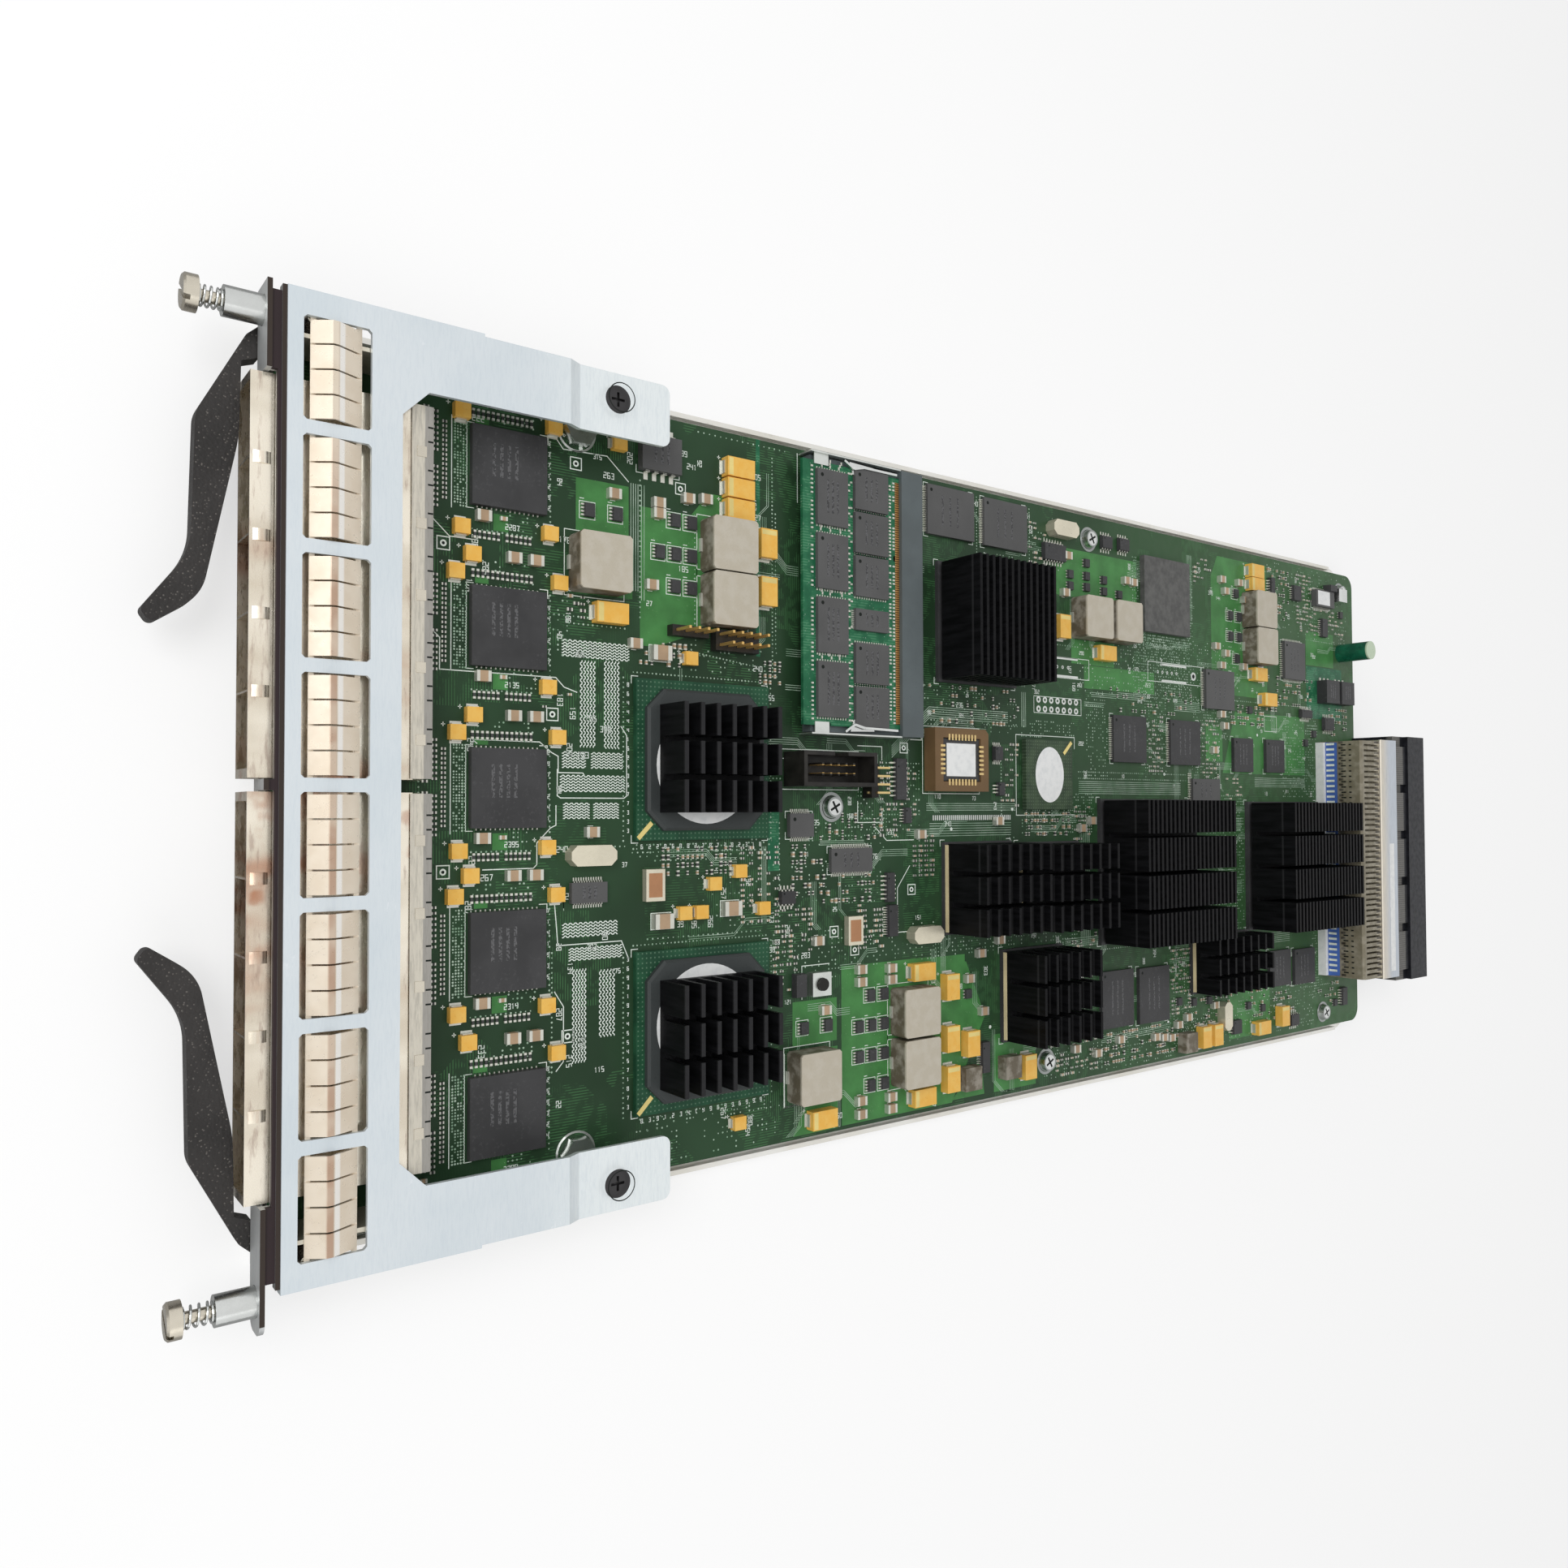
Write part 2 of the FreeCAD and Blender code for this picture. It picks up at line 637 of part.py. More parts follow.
def make_dimm_chips():
    top = dimm_low + dimm_thick
    solids = []
    for i in range(4):
        solids.append(pad(dimm_x + (i - 1.5) * 16.4, dimm_front + 9.0, 14.2, 10.0, top, top + 1.1))
    for i in range(6):
        wide = 6.0 if i == 3 else 11.0
        solids.append(pad(dimm_x + (i - 2.5) * 11.4, dimm_front + 22.2, wide - 0.4, 11.4, top, top + 1.1))
    return solids


# ---- power parts ---------------------------------------------------------------------------------------
large_inductors = [(-50.5, 72.3), (-59.0, 107.0), (-45.8, 107.0), (59.2, 167.5), (72.8, 167.5), (71.9, 132.6)]
middle_inductors = [(-55.0, 243.6), (-55.0, 258.4), (-67.0, 337.5), (-53.8, 337.8)]
small_inductor_places = [(80.6, 189.5), (79.6, 206.0), (83.0, 293.2)]
large_inductor = 12.8
large_inductor_high = 6.2
small_inductor = 6.5
small_inductor_high = 3.4

# upright tantalum bodies lie with their length along the card, the crosswise ones across it
tantalum_long = [(-61.6, 119.2), (-49.6, 119.2), (54.2, 182.2), (68.6, 182.2), (79.8, 182.2), (70.9, 190.2),
                 (80.6, 214.0), (-51.4, 231.2), (82.4, 303.0), (82.4, 309.8), (80.5, 352.2)]
tantalum_cross = [(-79.0, 110.8), (-73.9, 110.8), (-68.8, 110.8), (-39.9, 75.6), (49.1, 171.4), (83.2, 171.4),
                  (83.6, 136.4), (-44.8, 251.8), (-81.4, 337.4), (-76.5, 337.6), (-44.0, 338.8), (-35.2, 345.0),
                  (83.2, 338.2)]
tantalum_small = [(-79.2, 40.8), (-79.8, 61.8), (-79.2, 78.0), (-56.0, 60.9), (-45.4, 63.2), (-54.8, 40.8),
                  (-49.3, 43.2), (-45.3, 39.6), (-22.2, 60.5), (-15.4, 43.6), (-11.6, 40.0), (-11.3, 62.8),
                  (12.8, 60.4), (13.2, 40.4), (18.4, 43.0), (23.2, 62.6), (22.6, 39.6), (19.6, 111.2),
                  (22.4, 103.8), (29.0, 95.4), (29.0, 100.0), (29.0, 118.2), (47.1, 60.4), (47.0, 40.2),
                  (53.0, 42.6), (57.6, 62.8), (80.6, 110.8), (-31.3, 97.1)]
# body sizes: across, along, high
tantalum_sizes = {"long": (7.2, 4.9, 2.8), "cross": (4.7, 8.0, 2.8), "small": (3.2, 3.4, 1.9)}


def make_power_inductors():
    size = large_inductor
    bodies = [pad(x, y, size, size, 0, large_inductor_high) for x, y in large_inductors + middle_inductors]
    return [b.makeChamfer(0.6, upright_edges(b)) for b in bodies]


def make_small_inductors():
    size = small_inductor
    return [pad(x, y, size, size, 0, small_inductor_high) for x, y in small_inductor_places]


def make_tantalums():
    solids = []
    groups = {"long": tantalum_long, "cross": tantalum_cross, "small": tantalum_small}
    for kind, places in groups.items():
        wide, long, high = tantalum_sizes[kind]
        solids += [pad(x, y, wide, long, 0, high) for x, y in places]
    return solids


# ---- flat chips: x, y, wide, long, high ------------------------------------------------------------------
flash_chips = [(-79.4, 184.0, 14.0, 18.4, 1.2), (-79.2, 206.6, 14.0, 18.4, 1.2)]
memory_chips = [(-18.0, 264.4, 15.0, 17.0, 1.2), (-17.8, 294.6, 15.0, 17.0, 1.2), (-14.6, 329.4, 12.0, 12.0, 1.2),
                (-14.7, 350.0, 12.0, 12.0, 1.2), (65.0, 257.0, 18.0, 16.0, 1.2), (65.4, 276.0, 18.0, 16.0, 1.2),
                (63.0, 351.6, 13.0, 14.0, 1.2), (63.6, 368.4, 13.0, 14.0, 1.2)]
logic_chips = [(-78.6, 88.8, 8.4, 10.6, 2.2), (17.9, 146.9, 6.2, 14.0, 1.2), (8.6, 130.2, 6.0, 7.6, 1.4),
               (23.1, 70.5, 4.6, 8.8, 1.4), (-37.0, 314.8, 13.6, 17.0, 1.6), (-50.9, 363.6, 14.0, 14.0, 1.6),
               (-1.7, 306.2, 8.0, 16.0, 1.4), (-76.5, 385.0, 6.3, 13.0, 2.2)]
control_chips = [(-66.4, 284.4, 25.0, 25.0, 1.8), (-5.8, 224.6, 21.0, 21.0, 1.6)]
crystal_cans = [(14.8, 70.7, 4.6, 11.2, 3.4), (39.0, 172.6, 4.6, 11.0, 3.4), (-81.4, 231.4, 4.8, 11.6, 3.4),
                (76.6, 315.4, 9.8, 4.6, 3.0)]
oscillators = [(22.1, 87.2, 7.4, 5.0, 1.8), (36.4, 147.6, 7.5, 5.0, 1.8)]


def make_flat_chips(places):
    return [pad(x, y, wide, long, 0, high) for x, y, wide, long, high in places]


def make_crystals():
    """Cans with rounded ends, here eight-sided, and flat ceramic ones."""
    cans = [pad(x, y, wide, long, 0, high) for x, y, wide, long, high in crystal_cans]
    cans = [can.makeChamfer(1.4, upright_edges(can)) for can in cans]
    return cans + make_flat_chips(oscillators)


# ---- sockets and headers -----------------------------------------------------------------------------------
socket_x, socket_y = -9.2, 184.6
socket_wide, socket_long, socket_high = 17.6, 21.0, 4.4
socketed_wide, socketed_long = 11.8, 14.4


def make_chip_socket():
    body = pad(socket_x, socket_y, socket_wide, socket_long, 0, socket_high)
    well = pad(socket_x, socket_y, socketed_wide + 0.4, socketed_long + 0.4, 0.8, socket_high + 1)
    cut_corner = prism([(socket_x - socket_wide / 2 - 1, socket_y + socket_long / 2 + 1),
                        (socket_x - socket_wide / 2 - 1, socket_y + socket_long / 2 - 2.2),
                        (socket_x - socket_wide / 2 + 2.2, socket_y + socket_long / 2 + 1)], -1, socket_high + 1)
    return trim(body, [well, cut_corner])


def make_socketed_chip():
    return pad(socket_x, socket_y, socketed_wide, socketed_long, 0.8, socket_high - 0.5)


header_rows = [(-36.3, 109.8, 2, 5), (-37.6, 96.4, 1, 4)]
pin_pitch = 2.54
pin_size = 0.64


def make_pin_headers():
    """Square pins through a bar, one solid each."""
    solids = []
    for x, y, across, along in header_rows:
        pieces = [pad(x, y, across * pin_pitch, along * pin_pitch, 0, 2.5)]
        for i in range(across):
            for j in range(along):
                px = x + (i - (across - 1) / 2) * pin_pitch
                py = y + (j - (along - 1) / 2) * pin_pitch
                pieces.append(pad(px, py, pin_size, pin_size, 2.5, 8.4))
        solids.append(join(pieces))
    return solids


box_x, box_y = -5.6, 137.4
box_wide, box_long, box_high = 8.8, 24.0, 8.6


def make_box_header():
    """Shrouded header with a key slot and two rows of five pins."""
    body = pad(box_x, box_y, box_wide, box_long, 0, box_high)
    well = pad(box_x, box_y, box_wide - 2.0, box_long - 2.2, 2.0, box_high + 1)
    key = block(box_x - box_wide, box_x, box_y - 2.2, box_y + 2.2, 3.2, box_high + 1)
    pins = []
    for i in range(2):
        for j in range(5):
            px = box_x + (i - 0.5) * pin_pitch
            py = box_y + (j - 2) * pin_pitch
            pins.append(pad(px, py, pin_size, pin_size, 2.0, 7.4))
    return join([trim(body, [well, key])] + pins)


# ---- single parts ------------------------------------------------------------------------------------------
switch_x, switch_y = 49.2, 135.6
switch_size = 6.0
switch_high = 2.6
plunger_r = 1.6
plunger_play = 0.1
plunger_top = 3.4
plunger_travel = 0.3


def make_reset_switch():
    body = pad(switch_x, switch_y, switch_size, switch_size, 0, switch_high)
    return body.cut(post(switch_x, switch_y, plunger_r + plunger_play, 1.0, switch_high + 1))


def make_reset_plunger():
    foot = 1.0 + plunger_travel + 0.1
    return post(switch_x, switch_y, plunger_r, foot, plunger_top)


def make_electrolytic():
    x, y, r, high = -56.6, board_rear - 10.0, 3.5, 12.4
    return post(x, y, r, 0, high)


def make_power_blocks():
    return [pad(-40.4, y, 8.8, 9.4, 0, 4.0) for y in (386.4, 397.6)]


# ---- backplane connector ------------------------------------------------------------------------------------
def make_wafers():
    """Stacked contact wafers: one block whose back edge is a comb, one tooth per wafer."""
    body = [(conn_front, 0), (conn_front, conn_high - 0.8), (conn_front + 0.8, conn_high), (wafer_rear, conn_high),
            (wafer_rear, 0)]
    stack = section(body, conn_left, conn_right)
    count = int((conn_right - conn_left) / wafer_pitch)
    first = conn_middle - (count - 1) / 2 * wafer_pitch
    slots = [pad(first + i * wafer_pitch, (comb_front + comb_rear) / 2, 0.8, comb_rear - comb_front,
                 conn_high - 2.4, conn_high + 1) for i in range(count)]
    return trim(stack, slots)


def make_stiffener():
    """Bent cover strip over the wafers' rear."""
    t = 0.8
    y0, y1 = comb_rear + 0.4, stiffener_rear
    top = conn_high + t
    side = [(y0, conn_high), (y0, top - 0.3), (y0 + 0.3, top), (y1, top), (y1, conn_high)]
    strip = section(side, conn_left - 0.6, conn_right + 0.6)
    ear = block(conn_right, conn_right + 0.6, y0 + 1.5, y1, 4.0, conn_high)
    ears = [ear, ear.mirror(Vector(conn_middle, 0, 0), Vector(1, 0, 0))]
    return join([strip] + ears)


def make_housing():
    """Black mating housing that hangs over the board's rear edge, ribbed on top, slotted at the back."""
    x0, x1 = conn_left - housing_over, conn_right + housing_over
    top = conn_high + 1.2
    rib_rear = stiffener_rear + 8.6
    side = [(stiffener_rear, 0.1), (stiffener_rear, conn_high - 0.6), (rib_rear, conn_high - 0.6), (rib_rear, top),
            (housing_rear, top), (housing_rear, housing_low), (board_rear + 0.5, housing_low), (board_rear + 0.5, 0.1)]
    body = section(side, x0, x1)
    groups = 5
    group_pitch = (conn_right - conn_left) / groups
    pieces = [body]
    for i in range(groups):
        middle = conn_left + (i + 0.5) * group_pitch
        pieces.append(block(middle - group_pitch / 2 + 1.6, middle + group_pitch / 2 - 1.6,
                            stiffener_rear + 0.2, rib_rear, conn_high - 0.6, conn_high + 0.5))
    whole = join(pieces)
    mouths = []
    for i in range(2 * groups):
        middle = conn_left + (i + 0.5) * group_pitch / 2
        mouths.append(pad(middle, housing_rear, group_pitch / 2 - 1.6, 16.0, housing_low + 2.0, top - 3.0))
    return trim(whole, mouths)


# ---- the card -------------------------------------------------------------------------------------------------
def build():
    """Every sub-part by node name, in the building frame."""
    lever_right, lever_left = both_sides(make_lever())
    guard_right, guard_left = both_sides(make_guard())
    cage_right, cage_left = both_sides(make_cage())
    nodes = {
        "tray": [make_tray()],
        "board_posts": make_board_posts(),
        "board_screws": make_board_screws(),
        "main_board": [make_board()],
        "faceplate": [make_faceplate()],
        "emi_gasket": [make_gasket()],
        "top_frame": [make_frame()],
        "frame_posts": make_frame_posts(),
        "frame_screws": make_frame_screws(),
        "hex_nuts": make_hex_nuts(),
        "contact_strip": [make_contact_strip()],
        "lever_guard_left": [guard_left],
        "lever_guard_right": [guard_right],
        "lever_left": [lever_left],
        "lever_right": [lever_right],
        "lever_pins": make_lever_pins(),
        "captive_ferrules": make_ferrules(),
        "port_cage_left": [cage_left],
        "port_cage_right": [cage_right],
        "port_connectors": make_port_connectors(),
        "port_chips": make_port_chips(),
        "switch_chip_bases": make_switch_chip_bases(),
        "switch_chip_lids": make_switch_chip_lids(),
        "sink_chips": make_sink_chips(),
        "dimm_slot": [make_dimm_slot()],
        "dimm_latches": make_dimm_latches(),
        "dimm_board": [make_dimm_board()],
        "dimm_chips": make_dimm_chips(),
        "power_inductors": make_power_inductors(),
        "small_inductors": make_small_inductors(),
        "tantalum_capacitors": make_tantalums(),
        "flash_chips": make_flat_chips(flash_chips),
        "memory_chips": make_flat_chips(memory_chips),
        "logic_chips": make_flat_chips(logic_chips),
        "control_chips": make_flat_chips(control_chips),
        "crystals": make_crystals(),
        "chip_socket": [make_chip_socket()],
        "socketed_chip": [make_socketed_chip()],
        "pin_headers": make_pin_headers(),
        "box_header": [make_box_header()],
        "reset_switch": [make_reset_switch()],
        "reset_plunger": [make_reset_plunger()],
        "electrolytic_capacitor": [make_electrolytic()],
        "power_blocks": make_power_blocks(),
        "connector_wafers": [make_wafers()],
        "connector_stiffener": [make_stiffener()],
        "connector_housing": [make_housing()],
    }
    for side, (x, spring) in screw_sides.items():
        nodes["captive_screw_" + side] = [make_captive_screw(x, spring)]
        nodes["captive_spring_" + side] = [make_spring(x, spring)]
    for name, place in heat_sinks.items():
        nodes[name] = [make_heat_sink(*place)]
    return nodes


def origin_of(nodes):
    """The middle of the footprint, at the tray's underside, in the building frame."""
    whole = Part.makeCompound([s for solids in nodes.values() for s in solids])
    size = whole.optimalBoundingBox(False, False)
    return Vector((size.XMin + size.XMax) / 2, (size.YMin + size.YMax) / 2, tray_low)


def main():
    os.makedirs("parts", exist_ok=True)
    nodes = build()
    origin = origin_of(nodes)
    for name, solids in nodes.items():
        shape = solids[0] if len(solids) == 1 else Part.makeCompound(solids)
        shape = shape.copy()
        shape.translate(origin * -1)
        shape.exportStep("parts/" + name + ".step")


main()
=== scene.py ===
import json
import math
import random

import bpy
from bpy.props import FloatProperty, FloatVectorProperty, IntProperty, PointerProperty
from mathutils import Euler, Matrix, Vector


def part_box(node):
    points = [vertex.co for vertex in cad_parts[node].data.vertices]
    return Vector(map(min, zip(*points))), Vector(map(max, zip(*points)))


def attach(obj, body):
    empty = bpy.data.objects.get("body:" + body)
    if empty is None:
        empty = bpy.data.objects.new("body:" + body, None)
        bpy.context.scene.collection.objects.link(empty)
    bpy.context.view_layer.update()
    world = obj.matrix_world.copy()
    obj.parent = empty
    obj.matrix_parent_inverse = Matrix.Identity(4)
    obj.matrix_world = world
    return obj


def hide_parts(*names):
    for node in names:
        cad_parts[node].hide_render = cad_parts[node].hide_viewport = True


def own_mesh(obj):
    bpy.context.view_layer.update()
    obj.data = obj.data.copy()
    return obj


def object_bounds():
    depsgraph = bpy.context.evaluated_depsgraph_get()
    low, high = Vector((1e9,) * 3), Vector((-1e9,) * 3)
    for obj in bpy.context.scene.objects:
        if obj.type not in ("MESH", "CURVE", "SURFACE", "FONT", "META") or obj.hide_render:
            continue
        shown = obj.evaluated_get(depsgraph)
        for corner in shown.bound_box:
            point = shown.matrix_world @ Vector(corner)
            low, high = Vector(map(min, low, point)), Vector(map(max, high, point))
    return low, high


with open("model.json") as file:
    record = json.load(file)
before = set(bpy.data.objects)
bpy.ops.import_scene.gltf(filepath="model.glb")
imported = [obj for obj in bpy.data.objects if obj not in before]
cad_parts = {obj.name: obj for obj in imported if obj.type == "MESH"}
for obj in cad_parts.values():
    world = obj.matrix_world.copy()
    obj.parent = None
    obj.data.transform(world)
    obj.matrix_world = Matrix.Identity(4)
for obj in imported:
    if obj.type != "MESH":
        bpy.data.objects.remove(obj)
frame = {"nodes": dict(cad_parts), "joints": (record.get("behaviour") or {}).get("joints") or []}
cad_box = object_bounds()

bl_info = {
    "name": "Switch line card",
    "version": (1, 0, 0),
    "blender": (4, 5, 0),
    "location": "3D View > Sidebar > Line card",
    "description": "Finishes, printed board detail and small parts for a switch line card",
    "category": "Object",
}

# ---- places ------------------------------------------------------------------------------------
MM = 0.001
PORT_PITCH = 14.25
BOARD_LOW, BOARD_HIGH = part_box("main_board")
MIDDLE = (BOARD_LOW.x + BOARD_HIGH.x) / 2
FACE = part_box("faceplate")[0].y
TOP = BOARD_HIGH.z


def at(x, y, z):
    """A place on the card in millimetres: across from its middle, back from its face, up from the board."""
    return (MIDDLE + x * MM, FACE + y * MM, TOP + z * MM)


def card(place):
    """The same place the other way round, from metres to card millimetres."""
    return ((place[0] - MIDDLE) / MM, (place[1] - FACE) / MM, (place[2] - TOP) / MM)


def span(node):
    """A node's lowest and highest corners in card millimetres."""
    return [card(corner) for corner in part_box(node)]


def centre(b):
    """The middle of a box in plan."""
    return (b[0] + b[1]) / 2, (b[2] + b[3]) / 2


def bricks(node):
    """The boxes of a node's separate solids in card millimetres, as x0, x1, y0, y1, z0, z1."""
    mesh = frame["nodes"][node].data
    spots = [tuple(round(c * 1e5) for c in v.co) for v in mesh.vertices]
    owner = {s: s for s in spots}

    def first(s):
        while owner[s] != s:
            owner[s] = owner[owner[s]]
            s = owner[s]
        return s

    for p in mesh.polygons:
        a = first(spots[p.vertices[0]])
        for v in p.vertices[1:]:
            owner[first(spots[v])] = a
    groups = {}
    for s, v in zip(spots, mesh.vertices):
        groups.setdefault(first(s), []).append(card(v.co))
    found = []
    for points in groups.values():
        low = [min(p[i] for p in points) for i in range(3)]
        high = [max(p[i] for p in points) for i in range(3)]
        found.append((low[0], high[0], low[1], high[1], low[2], high[2]))
    return sorted(found, key=lambda b: (round(b[2], 1), b[0]))


def tint(red, green, blue):
    """A colour written as 0 to 255 on a screen, as Blender's linear values."""
    def level(c):
        c /= 255
        return c / 12.92 if c <= 0.04045 else ((c + 0.055) / 1.055) ** 2.4
    return (level(red), level(green), level(blue), 1.0)


# ---- sizes and colours that a user may change -----------------------------------------------
def hue(name, text, colour):
    return FloatVectorProperty(name=name, description=text, subtype="COLOR", size=4, min=0, max=1,
                               default=colour)


def length(name, text, value):
    return FloatProperty(name=name, description=text, unit="LENGTH", subtype="DISTANCE", precision=5,
                         min=0.00001, default=value * MM)


class CardColours(bpy.types.PropertyGroup):
    mask: hue("Solder mask", "The board's dark green", tint(37, 62, 40))
    pour: hue("Copper pour", "The lighter green over wide copper", tint(70, 128, 70))
    print_white: hue("Legend", "The printed outlines and numbers", tint(232, 240, 232))
    frame_steel: hue("Frame", "The plated top frame", tint(208, 217, 222))
    nickel: hue("Cage", "The port cages and contact strip", tint(214, 204, 186))
    epoxy: hue("Chips", "Moulded chip bodies", tint(62, 62, 63))
    tantalum: hue("Tantalum", "The yellow capacitors", tint(238, 182, 78))
    handle: hue("Levers", "The black moulded levers", tint(50, 48, 47))


class CardSizes(bpy.types.PropertyGroup):
    trace: length("Trace", "Width of a printed trace", 0.2)
    legend: length("Legend", "Width of a printed outline", 0.19)
    via: length("Via", "Radius of a via's pad", 0.21)
    lead_width: length("Lead", "Width of a wide chip lead", 0.42)
    chip_length: length("Small part", "Length of the smallest resistors and capacitors", 1.0)
    number: length("Number", "Height of the printed numbers", 1.25)
    seed: IntProperty(name="Seed", description="Where the scattered dots fall", default=7, min=0)


class StageSettings(bpy.types.PropertyGroup):
    lens: FloatProperty(name="Lens", description="Focal length", unit="CAMERA", default=26.55, min=1)
    key: FloatProperty(name="Key lamp", description="Power of the main soft lamp", unit="POWER",
                       default=5.6, min=0)
    fill: FloatProperty(name="Fill lamp", description="Power of the second lamp", unit="POWER",
                        default=1.6, min=0)
    sky: FloatProperty(name="Sky", description="Level of the even light all round", default=0.52, min=0)


def colours():
    return bpy.context.scene.card_colours


def sizes():
    return bpy.context.scene.card_sizes


def legend_width():
    return sizes().legend / MM


# ---- shader maths ------------------------------------------------------------------------------
class Value:
    """A number that runs through a finish's nodes. Sums written with it add the Math nodes."""

    def __init__(self, finish, socket):
        self.finish = finish
        self.socket = socket

    def _sum(self, operation, *terms):
        made = self.finish.node("ShaderNodeMath", {"operation": operation}, dict(enumerate(terms)))
        return Value(self.finish, made.outputs[0])

    def __add__(self, other):
        return self._sum("ADD", self, other)

    def __radd__(self, other):
        return self._sum("ADD", other, self)

    def __sub__(self, other):
        return self._sum("SUBTRACT", self, other)

    def __rsub__(self, other):
        return self._sum("SUBTRACT", other, self)

    def __mul__(self, other):
        return self._sum("MULTIPLY", self, other)

    def __rmul__(self, other):
        return self._sum("MULTIPLY", other, self)

    def between(self, low, high, to_low=0.0, to_high=1.0):
        """Rises smoothly from to_low at low to to_high at high."""
        made = self.finish.node("ShaderNodeMapRange", {"interpolation_type": "SMOOTHSTEP"},
                                {0: self, 1: low, 2: high, 3: to_low, 4: to_high})
        return Value(self.finish, made.outputs[0])

    def wave(self, pitch, shift=0.0):
        """A soft stripe from 0 to 1 that repeats every pitch."""
        turned = (self + shift) * (2 * math.pi / pitch)
        return turned._sum("SINE", turned) * 0.5 + 0.5


class Nodes:
    """A node tree whose nodes all come from one method."""

    def __init__(self, tree):
        self.tree = tree
        self.tree.nodes.clear()

    def node(self, kind, settings=None, sockets=None):
        made = self.tree.nodes.new(kind)
        for key, value in (settings or {}).items():
            setattr(made, key, value)
        for key, value in (sockets or {}).items():
            if isinstance(value, Value):
                value = value.socket
            if isinstance(value, bpy.types.NodeSocket):
                self.tree.links.new(value, made.inputs[key])
            else:
                made.inputs[key].default_value = value
        return made


class Finish(Nodes):
    """One procedural material. Places are Object coordinates, so nothing slides with a view."""

    def __init__(self, name, metallic=0.0, specular=0.5):
        self.material = bpy.data.materials.new(name)
        self.material.use_nodes = True
        super().__init__(self.material.node_tree)
        out = self.node("ShaderNodeOutputMaterial")
        self.shader = self.node("ShaderNodeBsdfPrincipled", None,
                                {"Metallic": metallic, "Specular IOR Level": specular})
        self.tree.links.new(self.shader.outputs[0], out.inputs[0])
        self.place = self.node("ShaderNodeTexCoord").outputs["Object"]

    def axis(self, which):
        """X, Y or Z over the card in millimetres."""
        parts = self.node("ShaderNodeSeparateXYZ", None, {0: self.place})
        start = {"X": MIDDLE, "Y": FACE, "Z": TOP}[which]
        return (Value(self, parts.outputs[which]) - start) * (1 / MM)

    def axes(self, which):
        return [self.axis(one) for one in which]

    def stretched(self, x=1.0, y=1.0, z=1.0, turn=0.0):
        made = self.node("ShaderNodeMapping", None,
                         {"Vector": self.place, "Scale": (x, y, z), "Rotation": (0, 0, math.radians(turn))})
        return made.outputs[0]

    def noise(self, size, detail=3.0, rough=0.55, place=None):
        """Cloudy noise whose blotches are about size millimetres."""
        made = self.node("ShaderNodeTexNoise", None, {
            "Vector": place or self.place, "Scale": 1 / (size * MM), "Detail": detail, "Roughness": rough})
        return Value(self, made.outputs[0])

    def cells(self, size):
        """Distance from the nearest of many scattered points about size millimetres apart."""
        made = self.node("ShaderNodeTexVoronoi", None, {"Vector": self.place, "Scale": 1 / (size * MM)})
        return Value(self, made.outputs["Distance"])

    def blend(self, amount, first, second):
        made = self.node("ShaderNodeMix", {"data_type": "RGBA"}, {0: amount, 6: first, 7: second})
        return made.outputs[2]

    def cloudy(self, size, first, second, detail=3.0):
        """Two colours in soft clouds about size millimetres across."""
        return self.blend(self.noise(size, detail).between(0.3, 0.7), first, second)

    def sheen(self, size, low, high, detail=3.0):
        """A roughness that drifts from low to high in clouds about size millimetres across."""
        return self.noise(size, detail).between(0.3, 0.7, low, high)

    def paint(self, colour, rough, bump, depth):
        """Joins a colour, a roughness and a height, depth millimetres deep, to the shader."""
        made = self.node("ShaderNodeBump", None,
                         {"Strength": 0.6, "Distance": depth * MM, "Height": bump})
        for key, socket in (("Base Color", colour), ("Roughness", rough.socket), ("Normal", made.outputs[0])):
            self.tree.links.new(socket, self.shader.inputs[key])
        return self.material


def shade(colour, factor):
    return tuple(min(1.0, c * factor) for c in colour[:3]) + (1.0,)


MADE = {}


def finish(name):
    """A finish by name, made once."""
    if name not in MADE:
        MADE[name] = FINISHES[name]("card " + name.replace("_", " "))
    return MADE[name]


def moulded(colour, size=1.2, rough=0.5, specular=0.35, depth=0.012):
    """Moulded plastic or epoxy: an even colour, a fine grain and slightly shinier worn spots."""
    def make(name):
        f = Finish(name, specular=specular)
        grain = f.noise(size / 6, 4.0, 0.6)
        slow = f.noise(size * 8, 3.0)
        tone = f.blend(slow.between(0.3, 0.7), shade(colour, 0.9), shade(colour, 1.12))
        tone = f.blend(f.cells(size / 2).between(0.0, 0.35, 0.35, 0.0), tone, shade(colour, 0.75))
        return f.paint(tone, slow.between(0.2, 0.8, rough - 0.07, rough + 0.09), grain, depth)
    return make


def plated(colour, rough=0.25, size=5.0, brush=(1.0, 1.0), metallic=1.0, depth=0.004):
    """Plated or bare metal: brushed one way where brush stretches the grain."""
    def make(name):
        f = Finish(name, metallic=metallic)
        lay = f.stretched(brush[0], brush[1], 1.0)
        streak = f.noise(size / 4, 6.0, 0.65, lay)
        slow = f.noise(size * 4, 3.0)
        tone = f.blend(slow.between(0.3, 0.7), shade(colour, 0.93), shade(colour, 1.05))
        tone = f.blend(streak.between(0.35, 0.75, 0.0, 0.3), tone, shade(colour, 0.8))
        return f.paint(tone, streak.between(0.2, 0.8, rough - 0.05, rough + 0.1), streak, depth)
    return make


